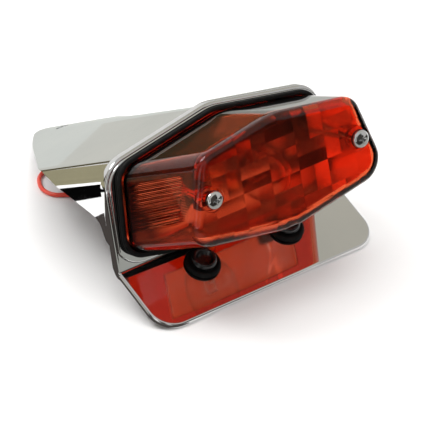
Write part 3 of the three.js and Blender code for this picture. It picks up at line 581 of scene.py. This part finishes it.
def seat_mesh():
    inner = polar(hexa(-12), ANGLES)
    def outline(by):
        a = polar(hexa(3.0 + by), ANGLES)
        face = [(0, PEAK_Z + 1.1), (TOP_HALF + 4.7, TOP_CORNER_Z + 0.2), (SHELF_HALF, BEND_Z), (-SHELF_HALF, BEND_Z), (-TOP_HALF - 4.7, TOP_CORNER_Z + 0.2)]
        lim = polar(rounded(grow(face, [-1.55 + by, -1.55 + by, -1.0 + by, -1.55 + by, -1.55 + by]), [26, 13.5, 0.1, 0.1, 13.5], 20), ANGLES)
        out = []
        for p, q in zip(a, lim):
            rp, rq = math.hypot(p[0], p[1] - BULB_Z), math.hypot(q[0], q[1] - BULB_Z)
            out.append(p if rp < rq else q)
        return out
    rings = [[P(x, -0.3, z) for x, z in outline(0.3)], [P(x, 0.0, z) for x, z in outline(0.0)]]
    for k in range(1, 6):
        a = math.pi / 2 * k / 5
        rings.append([P(x, 0.2 + 0.8 * math.sin(a), z) for x, z in outline(-0.8 * (1 - math.cos(a)))])
    rings.append([P(x, SEAT, z) for x, z in outline(-1.2)])
    rings.append([P(x, SEAT, z) for x, z in inner])
    rings.append([P(x, -0.3, z) for x, z in inner])
    return ring_mesh("seat", rings, wrap=True)


seat = finish_mesh("bracket_raised_seat", seat_mesh(), chrome, "lamp_body", (), 40)

# ------------------------------------------------------------------ hood
CUT = [(-22, 10), (-7, 15.6), (2, 21.1), (8.5, 26.9), (13, 33.2), (16.5, 35), (22, 35.5), (56, 35.9), (68.7, 33.4), (78.6, 29.6), (100.9, 20.0), (124.7, 9.8), (141.1, 3.1), (147, 0.8), (151, 0.02), (190, 0.02)]


def smooth_curve(points, per=8):
    """Rounds a polyline by corner cutting, so that the trimmed edge has no kinks."""
    p = [np.array(q, float) for q in points]
    for _ in range(3):
        out = [p[0]]
        for a, b in zip(p[:-1], p[1:]):
            out += [a * 0.8 + b * 0.2, a * 0.2 + b * 0.8]
        out.append(p[-1])
        p = out
    return np.array(p)


CUT_S = smooth_curve(CUT)


def hood_mesh():
    end = -HOOD_LENGTH * math.cos(math.radians(15.3))
    base_o = even(hexa(-0.8), 720)
    ang = [math.atan2(z - BULB_Z, x) for x, z in base_o]
    outer = polar(hexa(-0.8), ang)
    inner = polar(hexa(-0.8 - HOOD_WALL), ang)

    def trim(x, z):
        """Depth at which the line back from (x, z) meets the cut."""
        prev = None
        for k in range(0, 801):
            d = HOOD_FRONT - 0.35 + (end - HOOD_FRONT + 0.35) * k / 800
            zz = z + (d - HOOD_FRONT) * DROP
            y = zz * SA - d * CA
            h = zz * CA + d * SA + H0
            g = h - np.interp(y, CUT_S[:, 0], CUT_S[:, 1])
            if g <= 0:
                if prev is None:
                    return d
                d0, g0 = prev
                return d0 + (d - d0) * g0 / (g0 - g)
            prev = (d, g)
        return end

    n = len(ang)
    V = 44
    to = [trim(*p) for p in outer]
    ti = [trim(*p) for p in inner]

    def at(p, d):
        return P(p[0], d, p[1] + (d - HOOD_FRONT) * DROP)

    def flatat(p, d):
        return P(p[0], d, p[1])

    rings = []
    # outer surface from the trimmed edge to the front, with its edges eased
    for k in range(V, -1, -1):
        f = k / V
        rings.append([at(p, HOOD_FRONT - 0.5 + (t + 0.45 - (HOOD_FRONT - 0.5)) * f if t + 0.45 < HOOD_FRONT - 0.5 else HOOD_FRONT - 0.5 + (t - HOOD_FRONT + 0.5) * f) for p, t in zip(outer, to)])
    o2 = polar(hexa(-1.3), ang)
    rings.append([flatat(p, HOOD_FRONT) for p in o2])
    hole = [(17 * math.cos(a), BULB_Z + 17 * math.sin(a)) for a in ang]
    rings.append([flatat(p, HOOD_FRONT) for p in hole])
    rings.append([flatat(p, HOOD_FRONT - HOOD_FLANGE) for p in hole])
    i2 = polar(hexa(-0.8 - HOOD_WALL - 0.8), ang)
    rings.append([at(p, HOOD_FRONT - HOOD_FLANGE) for p in i2])
    back_d = HOOD_FRONT - HOOD_FLANGE - 0.8
    for k in range(0, V + 1):
        f = k / V
        rings.append([at(p, back_d + (min(t + 0.45, back_d) - back_d) * f) for p, t in zip(inner, ti)])
    mid = polar(hexa(-0.8 - HOOD_WALL / 2), ang)
    rings.append([at(p, min(t, back_d - 0.05)) for p, t in zip(mid, [(a + b) / 2 for a, b in zip(to, ti)])])
    me = ring_mesh("hood", rings, wrap=True)
    return oriented(me)


hood_me = hood_mesh()
# mudguard bolt hole near the tip, square to the roof
tilt = BASE_TILT + math.radians(15.3)
hc = Vector(F(0, 128.5, 10.5))
hn = Vector((0, math.sin(tilt), math.cos(tilt)))
hu = Vector((1, 0, 0))
hv = hn.cross(hu)
rings = [[tuple(hc + hn * k * 0.001 + (hu * a + hv * b) * 0.001) for a, b in circle(3.2, 48)] for k in (-14, 14)]
hood_me = boolean(hood_me, [oriented(ring_mesh("hole", rings))])
hood = finish_mesh("hood_shell", hood_me, chrome, "lamp_body", ["hood"], 38)

# ------------------------------------------------------------------ gasket
def gasket_mesh():
    rise = FACE_SHIFT / (LENS_DEPTH - LENS_BASE_D)
    def r(by, d, lift=0.0):
        return [P(x, d, z + lift) for x, z in polar(hexa(by - 0.3 if by > -1.5 else by), ANGLES)]
    f0 = SEAT + GAP
    rings = [r(-0.35, f0), r(-0.08, f0 + 0.12), r(0.0, f0 + 0.45)]
    # a shallow groove round the outside
    rings += [r(0.0, f0 + 1.05), r(-0.14, f0 + 1.2), r(-0.2, f0 + 1.4), r(-0.14, f0 + 1.6), r(0.0, f0 + 1.75), r(0.0, GASKET_FRONT - 0.7)]
    for k in range(1, 6):
        a = math.pi / 2 * k / 5
        rings.append(r(-0.7 * (1 - math.cos(a)), GASKET_FRONT - 0.7 + 0.7 * math.sin(a)))
    rings += [r(-2.0, GASKET_FRONT), r(-2.35, GASKET_FRONT - 0.12, rise * (GASKET_FRONT - LENS_BASE_D)), r(-2.5, GASKET_FRONT - 0.45, rise * (GASKET_FRONT - 0.4 - LENS_BASE_D)), r(-2.5, LENS_BASE_D - GAP)]
    rings += [r(-6.2, LENS_BASE_D - GAP), r(-6.2, f0)]
    return ring_mesh("gasket", rings, wrap=True)


gasket = finish_mesh("gasket_ring", gasket_mesh(), rubber, "lamp_body", ["base_gasket"], 45)

# ------------------------------------------------------------------ lens
FACE_HEX = [(0, 27.4), (44.2, 20.8), (56.9, -19.4), (3, -27.9), (-3, -27.9), (-56.9, -19.4), (-44.2, 20.8)]
FACE_HEX_R = [40, 10, 11, 4, 4, 11, 10]
LENS_BASE = grow(HEX, -2.9)
LENS_BASE_R = [max(3, r - 2.9) for r in HEX_R]
ALONG = [22, 132, 22, 10, 22, 132, 22]
CSTEP = 12


def lens_base(by):
    return rounded(grow(LENS_BASE, by), [max(1.5, r + by) for r in LENS_BASE_R], CSTEP, ALONG)


def lens_face(by):
    return rounded(grow(FACE_HEX, by), [max(1.5, r + by) for r in FACE_HEX_R], CSTEP, ALONG)


def lens_rings(inset, face_back, base_d, ribs=False):
    base = np.array([(x, base_d, z) for x, z in lens_base(-inset)])
    edge = np.array([(x, LENS_DEPTH - face_back, FACE_SHIFT + z) for x, z in lens_face(1.0 - inset)])
    flat = np.array([(x, LENS_DEPTH - face_back, FACE_SHIFT + z) for x, z in lens_face(-3.8 - inset * 0.4)])
    flat2 = np.array([(x, LENS_DEPTH - face_back, FACE_SHIFT + z) for x, z in lens_face(-4.3 - inset * 0.4)])
    l = np.linalg.norm(edge - base, axis=1)[:, None]
    shoulder = base + (edge - base) * (1 - 5.5 / l)
    steps = [0, 0.02, 0.06, 0.12, 0.25, 0.4, 0.55, 0.7, 0.8, 0.85, 0.9, 0.96, 1.0]
    rings = [base + (shoulder - base) * t for t in steps]
    if ribs:
        # vertical row of flutes on both end walls, running along the depth
        n = len(base)
        w = np.zeros(n)
        start = 0
        for c in range(7):
            start += CSTEP + 1
            if c in (1, 5):
                k = ALONG[c]
                for j in range(k):
                    fade = min(1, j / 6, (k - 1 - j) / 6)
                    w[start + j] = fade * (0.5 - 0.5 * math.cos(2 * math.pi * j / 4.4))
            start += ALONG[c]
        mid = base.mean(0)
        for t, ring in zip(steps, rings):
            on = min(1, max(0, (0.93 - t) / 0.05)) * min(1, max(0, (t - 0.005) / 0.03))
            dirx = np.sign(ring[:, 0])
            ring[:, 0] -= dirx * w * 0.22 * on
    for t in (0.1, 0.2, 0.3, 0.42, 0.55, 0.68, 0.8, 0.9):
        a = shoulder + (edge - shoulder) * t
        b = edge + (flat - edge) * t
        rings.append(a + (b - a) * t)
    rings += [flat, flat2]
    return rings


def lens_mesh():
    outer = lens_rings(0, 0, LENS_BASE_D)
    inner = lens_rings(LENS_WALL, 3.0, LENS_BASE_D, ribs=True)
    n = len(outer[0])
    rings = [r for r in reversed(inner)] + outer
    verts = [P(*p) for r in rings for p in r]
    faces = []
    for a in range(len(rings) - 1):
        for i in range(n):
            j = (i + 1) % n
            faces.append((a * n + i, a * n + j, (a + 1) * n + j, (a + 1) * n + i))
    faces.append(tuple(reversed(range(n))))
    faces.append(tuple((len(rings) - 1) * n + i for i in range(n)))
    return oriented(mesh_from("lens", verts, faces))


lens_me = lens_mesh()
X0, X1, D0, D1 = -38, 38, 10, 32
pane_me = boolean(lens_me.copy(), [box_mesh(X0 + GAP, X1 - GAP, D0 + GAP, D1 - GAP, -45, -14.3)], "INTERSECT")
cutters = [box_mesh(X0, X1, D0, D1, -45, -14)]
for x in (-SCREW_HALF, SCREW_HALF):
    boss = oriented(ring_mesh("boss", [[P(a, d, b) for a, b in circle(5.6, 64, x, SCREW_Z)] for d in (SCREW_SEAT_D - 4.6, SCREW_SEAT_D + 0.2)]))
    lens_me = boolean(lens_me, [boss], "UNION")
for x in (-SCREW_HALF, SCREW_HALF):
    cutters.append(oriented(ring_mesh("sink", [[P(a, d, b) for a, b in circle(r, 64, x, SCREW_Z)] for r, d in ((6.0, SCREW_SEAT_D), (6.0, SCREW_SEAT_D + 0.5), (6.5, SCREW_SEAT_D + 1.0), (6.5, SCREW_SEAT_D + 8))])))
    cutters.append(oriented(ring_mesh("hole", [[P(a, d, b) for a, b in circle(2.4, 40, x, SCREW_Z)] for d in (SCREW_SEAT_D - 12, SCREW_SEAT_D + 8)])))
lens_me = boolean(lens_me, cutters)
lens = finish_mesh("lens_shell", lens_me, red_lens, "lens_assembly", ["lens"], 30)
lens.data.materials.append(red_inner)
lens.data.materials.append(red_frost)
normal = Vector((0, -CA, SA))
for p in lens.data.polygons:
    c = p.center * 1000 - Vector((0, Y0, H0))
    d, z = -c.y * CA + c.z * SA, c.y * SA + c.z * CA
    if p.normal.dot(normal) < -0.3 and 40 < d < SCREW_SEAT_D - 1.0:
        p.material_index = 1
    elif abs(p.normal.x) > 0.8 and p.normal.x * p.center.x < 0 and d < 50 and abs(p.center.x) > 0.05:
        p.material_index = 2
pane = finish_mesh("window_pane", pane_me, clear_plastic, "lens_assembly", ["clear_window"], 30)

# ------------------------------------------------------------------ lens screws
def cross_cutters(x, z, d0, place):
    out = []
    for turn in (0, math.pi / 2):
        rings = []
        for d, w, l in ((d0 - 0.1, 0.2, 0.9), (d0 + 0.7, 0.36, 1.8), (d0 + 2.0, 0.5, 2.5)):
            pts = []
            for a, b in ((-l, -w), (l, -w), (l, w), (-l, w)):
                pts.append(place(x + a * math.cos(turn) - b * math.sin(turn), d, z + a * math.sin(turn) + b * math.cos(turn)))
            rings.append(pts)
        out.append(oriented(ring_mesh("slot", rings)))
    return out


for side, x, turn in (("left", -SCREW_HALF, 0.0), ("right", SCREW_HALF, 0.0)):
    w0 = SCREW_SEAT_D + GAP
    h0 = w0 + 0.8 + GAP
    dome = [(0, h0 + 2.5)]
    for k in range(1, 13):
        r = 3.4 * k / 12
        dome.append((r, h0 + 2.5 - 0.62 * (r / 3.4) ** 2))
    dome += [(3.85, h0 + 1.6), (4.15, h0 + 1.2), (4.35, h0 + 0.75), (4.42, h0 + 0.35), (4.38, h0 + 0.08), (4.2, h0)]
    shaft = [(1.95, h0), (1.95, 8.0), (1.4, 7.2), (0, 7.2)]
    me = oriented(lathe(dome + shaft, 72, x, SCREW_Z))
    me = boolean(me, cross_cutters(x, SCREW_Z, h0 + 0.7, P))
    finish_mesh(f"lens_screw_{side}_head", me, chrome_screw, f"lens_screw_{side}_body", [f"lens_screw_{side}"], 34)
    prof = [(2.4, w0), (4.1, w0), (4.35, w0 + 0.1), (4.45, w0 + 0.4), (4.35, w0 + 0.7), (4.1, w0 + 0.8), (2.4, w0 + 0.8), (2.4, w0)]
    finish_mesh(f"screw_seal_{side}", lathe(prof, 56, x, SCREW_Z), rubber, "lens_assembly", [f"lens_screw_washer_{side}"], 40)


# ------------------------------------------------------------------ fastenings on the shelf
def shelf_place(x0):
    def place(a, u, b):  # a across, b along the shelf, u above it
        l = BOLT_L + b
        d = l * math.cos(FOLD) + u * math.sin(FOLD)
        return P(x0 + a, d, BEND_Z - l * math.sin(FOLD) + u * math.cos(FOLD))
    return place


for side, x in (("left", -BOLT_HALF), ("right", BOLT_HALF)):
    pl = shelf_place(x)
    # wide black washer: a dished disc with a rounded rim
    prof = [(3.0, GAP), (8.2, GAP), (8.62, 0.4), (8.85, 0.75), (8.9, 1.1), (8.82, 1.55), (8.6, 2.0), (8.25, 2.4), (7.8, 2.65), (7.3, 2.7), (6.9, 2.6), (6.6, 2.5), (3.0, 2.5), (3.0, GAP)]
    finish_mesh(f"shelf_washer_{side}", oriented(lathe(prof, 72, place=pl)), rubber, "lamp_body", [f"plate_washer_{side}"], 40)
    # cupped head with a rolled rim, on its shank
    prof = [(0, 3.35), (1.6, 3.38), (2.6, 3.6), (3.3, 4.1), (3.8, 4.9), (4.1, 5.55), (4.4, 5.9), (4.8, 6.0), (5.25, 5.85), (5.65, 5.4), (6.0, 4.7), (6.2, 3.9), (6.2, 3.35), (6.05, 3.2), (2.6, 3.2), (2.6, -9.6), (2.2, -10), (0, -10)]
    finish_mesh(f"shelf_bolt_{side}", oriented(lathe(prof, 72, place=pl)), black_gloss, "lamp_body", [f"plate_bolt_{side}"], 40)

# ------------------------------------------------------------------ bulb
def bulb_place(a, d, b):
    return P(a, d, b + BULB_Z)


def spline(points, per=5):
    p = [np.array(q, float) for q in points]
    out = []
    for i in range(len(p) - 1):
        a, b = p[i], p[i + 1]
        m0 = (p[i + 1] - p[i - 1]) / 2 if i > 0 else b - a
        m1 = (p[i + 2] - p[i]) / 2 if i + 2 < len(p) else b - a
        for k in range(per):
            t = k / per
            h = (2 * t**3 - 3 * t**2 + 1) * a + (t**3 - 2 * t**2 + t) * m0 + (-2 * t**3 + 3 * t**2) * b + (t**3 - t**2) * m1
            out.append((max(0, float(h[0])), float(h[1])))
    out.append(tuple(map(float, p[-1])))
    return out


outside = spline([(6.5, 15.2), (7.8, 17.5), (10.6, 21.5), (12.2, 26), (12.5, 31), (11.9, 36.5), (9.6, 41.8), (6.2, 45.0), (3.0, 46.4), (0, 46.8)])
inside = spline([(0, 46.2), (2.8, 45.75), (5.9, 44.4), (9.1, 41.4), (11.3, 36.2), (11.9, 31), (11.6, 26.2), (10.1, 22), (7.3, 18), (5.9, 15.6)])
prof = [(6.5, 10.5)] + outside + inside + [(5.9, 10.5), (6.5, 10.5)]
finish_mesh("bulb_envelope", oriented(lathe(prof, 64, place=bulb_place)), glass, "bulb", ["bulb_glass"], 30)

# ------------------------------------------------------------------ CAD nodes that stay, with their own materials
keep = {
    "base_plate": reflector, "bulb_socket": brass, "socket_boot": rubber, "contact_carrier": fibre,
    "contact_plunger_tail": brass, "contact_plunger_stop": brass, "contact_spring": zinc, "bulb_cap": brass,
    "bulb_filament_mount": filament, "coil_tie": black_gloss, "bullet_connector": brass,
}
for n in nodes:
    if n.startswith(("base_screw", "base_washer", "base_nut", "plate_nut")):
        keep[n] = zinc
for n, mat in keep.items():
    me = nodes[n].data
    me.materials.clear()
    me.materials.append(mat)

# ------------------------------------------------------------------ red wire: one cord from the socket to its connector
LOW = 1.14
out_d = Vector((0, CA, -SA))
ex = Vector((0, 27.484, 43.888))
route = [ex, ex + out_d * 5, ex + out_d * 9 + Vector((0, 0, -0.6)), (-0.5, 42.6, 37), (-1.5, 48.5, 27.5), (-3.5, 53.5, 16.5), (-7, 59, 7.2), (-12, 66.5, 2.2), (-17.5, 75.5, LOW), (-23, 83.8, LOW), (-28.2, 89.0, LOW), (-31.4, 91.6, LOW), (-33.2, 95.4, LOW), (-33.3, 100, LOW), (-31.3, 105.4, LOW), (-27.6, 110.4, LOW), (-22.4, 113.2, LOW), (-16, 112.4, LOW), (-9.5, 108, LOW), (-4.2, 100.5, LOW), (-0.6, 92, LOW), (1.6, 83, LOW)]
CX, CY = 17.0, 62.0


def coil_at(t, r, z):
    a = math.radians(t)
    return (CX + r * math.cos(a), CY + r * math.sin(a), z)


def lerp(t, pts):
    return float(np.interp(t, [p[0] for p in pts], [p[1] for p in pts]))


R_OF = [(150, 15.75), (195, 13.25), (510, 13.25), (555, 10.95), (830, 10.95), (880, 12.1), (1230, 12.1), (1260, 13.6), (1284, 15.6)]
Z_OF = [(150, 1.6), (195, 1.75), (555, 1.75), (790, 1.75), (850, 3.55), (880, 3.98), (1232, 3.98), (1284, 2.9)]
coil = [coil_at(t, lerp(t, R_OF), lerp(t, Z_OF)) for t in range(150, 1285, 9)]
tail = [(3.7, 53.1, 2.45), (4.3, 50, 2.2), (4.7, 47, 2.1), (4.7, 43.9, 2.1)]


def catmull(points, step=1.1):
    """A centripetal curve through the points, sampled evenly."""
    p = [np.array(q, float) for q in points]
    p = [2 * p[0] - p[1]] + p + [2 * p[-1] - p[-2]]
    out = []
    for i in range(1, len(p) - 2):
        a, b, c, d = p[i - 1], p[i], p[i + 1], p[i + 2]
        t0 = 0
        t1 = t0 + max(1e-6, np.linalg.norm(b - a)) ** 0.5
        t2 = t1 + max(1e-6, np.linalg.norm(c - b)) ** 0.5
        t3 = t2 + max(1e-6, np.linalg.norm(d - c)) ** 0.5
        for t in np.linspace(t1, t2, 12, endpoint=False):
            a1 = (t1 - t) / (t1 - t0) * a + (t - t0) / (t1 - t0) * b
            a2 = (t2 - t) / (t2 - t1) * b + (t - t1) / (t2 - t1) * c
            a3 = (t3 - t) / (t3 - t2) * c + (t - t2) / (t3 - t2) * d
            b1 = (t2 - t) / (t2 - t0) * a1 + (t - t0) / (t2 - t0) * a2
            b2 = (t3 - t) / (t3 - t1) * a2 + (t - t1) / (t3 - t1) * a3
            out.append((t2 - t) / (t2 - t1) * b1 + (t - t1) / (t2 - t1) * b2)
    out.append(p[-2])
    q = np.array(out)
    s = np.concatenate([[0], np.cumsum(np.linalg.norm(q[1:] - q[:-1], axis=1))])
    n = max(8, int(s[-1] / step))
    t = np.linspace(0, s[-1], n + 1)
    return np.stack([np.interp(t, s, q[:, k]) for k in range(3)], 1), s[-1]


line, cord_mm = catmull([*route, *coil, *tail])
cu = bpy.data.curves.new("red_wire_line", "CURVE")
cu.dimensions = "3D"
cu.bevel_depth = 0.0011
cu.bevel_resolution = 5
cu.use_fill_caps = True
sp = cu.splines.new("POLY")
sp.points.add(len(line) - 1)
for q, w in zip(sp.points, line):
    q.co = (*F(*w), 1)
sp.use_smooth = True
cu.materials.append(wire_red)
wire = bpy.data.objects.new("red_wire_cord", cu)
col.objects.link(wire)
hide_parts("red_wire", "wire_coil", "red_wire_end")
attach(wire, "lamp_body")
F(*line[0])

# ------------------------------------------------------------------ floor, backdrop and light
def plane(name, corners, mat):
    me = mesh_from(name, corners, [tuple(range(len(corners)))])
    ob = bpy.data.objects.new(name, me)
    col.objects.link(ob)
    me.materials.append(mat)
    return ob


floor_mat = surface("floor_paper", [(0.3, (0.86, 0.855, 0.855)), (0.7, (0.89, 0.885, 0.885))], (0.6, 0.8), 0.0, scale=8, bump_strength=0.02, bump_distance=0.0001, bump_scale=200, spec=0.1)
back_mat = surface("backdrop_paper", [(0.3, (0.86, 0.855, 0.85)), (0.7, (0.88, 0.875, 0.87))], (0.6, 0.8), 0.0, scale=5, spec=0.1)
plane("floor", [(-3, -3, 0), (3, -3, 0), (3, 3, 0), (-3, 3, 0)], floor_mat)
plane("backdrop", [(-3, 2.6, 0.001), (3, 2.6, 0.001), (3, 2.6, 3.5), (-3, 2.6, 3.5)], back_mat)

world = bpy.context.scene.world or bpy.data.worlds.new("world")
bpy.context.scene.world = world
world.use_nodes = True
bg = world.node_tree.nodes["Background"]
bg.inputs[0].default_value = (1.0, 0.98, 0.94, 1)
bg.inputs[1].default_value = 0.48


def card(name, corners, colour, strength=1.0):
    """A studio card that only shiny surfaces see."""
    mat = bpy.data.materials.new(name)
    mat.use_nodes = True
    nt = mat.node_tree
    nt.nodes.remove(nt.nodes["Principled BSDF"])
    em = nt.nodes.new("ShaderNodeEmission")
    em.inputs["Strength"].default_value = strength
    n = noise(nt, 6, 2, 0.5)
    r = ramp(nt, n.outputs["Fac"], [(0.3, tuple(c * 0.92 for c in colour)), (0.7, colour)])
    nt.links.new(r.outputs["Color"], em.inputs["Color"])
    nt.links.new(em.outputs["Emission"], nt.nodes["Material Output"].inputs["Surface"])
    ob = plane(name, corners, mat)
    ob.visible_camera = False
    ob.visible_diffuse = False
    ob.visible_transmission = False
    ob.visible_shadow = False
    return ob


def flat_card(name, pts, colour, z=0.001):
    return card(name, [(x, y, z) for x, y in pts], colour)


# under the line of the roof: light grey, then olive, then beige and a black strip for the side wall
flat_card("card_roof_near", [(-0.05, 0.09), (0.5, 0.09), (0.5, 0.2), (-0.02, 0.2)], (0.69, 0.71, 0.67))
flat_card("card_roof_mid", [(-0.02, 0.2), (0.6, 0.2), (0.6, 0.62), (0.03, 0.62)], (0.63, 0.63, 0.58))
flat_card("card_far_right", [(0.03, 0.62), (0.6, 0.62), (2.6, 2.55), (0.25, 2.55)], (0.10, 0.085, 0.045))
flat_card("card_left_far", [(-0.03, 0.118), (0.25, 2.55), (-2.4, 2.55), (-2.4, 0.118)], (0.36, 0.33, 0.21), 0.0012)
card("card_back_low", [(-2.4, 2.5, 0), (0.42, 2.5, 0), (0.42, 2.5, 0.16), (-2.4, 2.5, 0.16)], (0.36, 0.33, 0.21))
flat_card("card_side_black", [(-0.2, 0.074), (-0.05, 0.071), (-0.05, 0.047), (-0.2, 0.043)], (0.002, 0.002, 0.002), 0.0014)
flat_card("card_left_dark", [(-1.6, -0.25), (-0.15, -0.25), (-0.15, 0.118), (-1.6, 0.118)], (0.045, 0.04, 0.035), 0.0013)
flat_card("card_left_near", [(-0.15, -0.25), (-0.05, -0.25), (-0.05, 0.01), (-0.105, 0.03), (-0.15, 0.035)], (0.07, 0.06, 0.055), 0.0013)
flat_card("card_front_near", [(-0.4, -0.22), (0.4, -0.22), (0.4, -0.106), (-0.4, -0.106)], (0.36, 0.365, 0.335), 0.0015)
# in front: dark, so that the lens face keeps its depth
flat_card("card_front_dark", [(-0.3, -2.6), (2.4, -2.6), (2.4, -0.22), (-0.3, -0.22)], (0.03, 0.026, 0.024), 0.0016)


def standing(name, az0, az1, dist, z0, z1, colour):
    a0, a1 = math.radians(az0), math.radians(az1)
    p0, p1 = (dist * math.cos(a0), dist * math.sin(a0)), (dist * math.cos(a1), dist * math.sin(a1))
    return card(name, [(*p0, z0), (*p1, z0), (*p1, z1), (*p0, z1)], colour)


standing("card_l1", 128, 140, 0.9, 0.0, 0.9, (0.06, 0.05, 0.04))
standing("card_l2", 150, 166, 0.9, 0.0, 0.9, (0.52, 0.48, 0.40))
standing("card_l3", 172, 190, 0.9, 0.0, 0.8, (0.05, 0.045, 0.04))
standing("card_l4", 200, 216, 0.9, 0.0, 0.8, (0.9, 0.88, 0.85))
standing("card_l5", 218, 240, 0.9, 0.0, 0.7, (0.07, 0.06, 0.05))
standing("card_f1", 255, 300, 0.9, 0.0, 0.5, (0.05, 0.045, 0.04))
# above and to the right: what the shelf looks up at
card("card_ceiling", [(0.15, -0.6, 1.0), (1.3, -0.6, 1.0), (1.3, 0.7, 1.0), (0.15, 0.7, 1.0)], (0.46, 0.44, 0.38))


def area(name, loc, target, size, power, size_y=None, colour=(1, 1, 1), glossy=True):
    li = bpy.data.lights.new(name, "AREA")
    li.shape = "RECTANGLE"
    li.size = size
    li.size_y = size_y or size
    li.energy = power
    li.color = colour
    ob = bpy.data.objects.new(name, li)
    col.objects.link(ob)
    ob.location = loc
    ob.rotation_euler = (Vector(target) - Vector(loc)).to_track_quat("-Z", "Y").to_euler()
    ob.visible_glossy = glossy
    ob.visible_transmission = False
    return ob


area("top", (0, 0, 2.4), (0, 0, 0), 3.0, 62, glossy=False)
area("key", (-0.55, 0.55, 1.15), (0, 0, 0.04), 0.5, 5)
area("front", (0.5, -1.2, 1.2), (0, 0, 0.05), 0.5, 5, glossy=False)
bpy.context.scene.view_settings.view_transform = "Standard"
bpy.context.scene.view_settings.exposure = 0.0
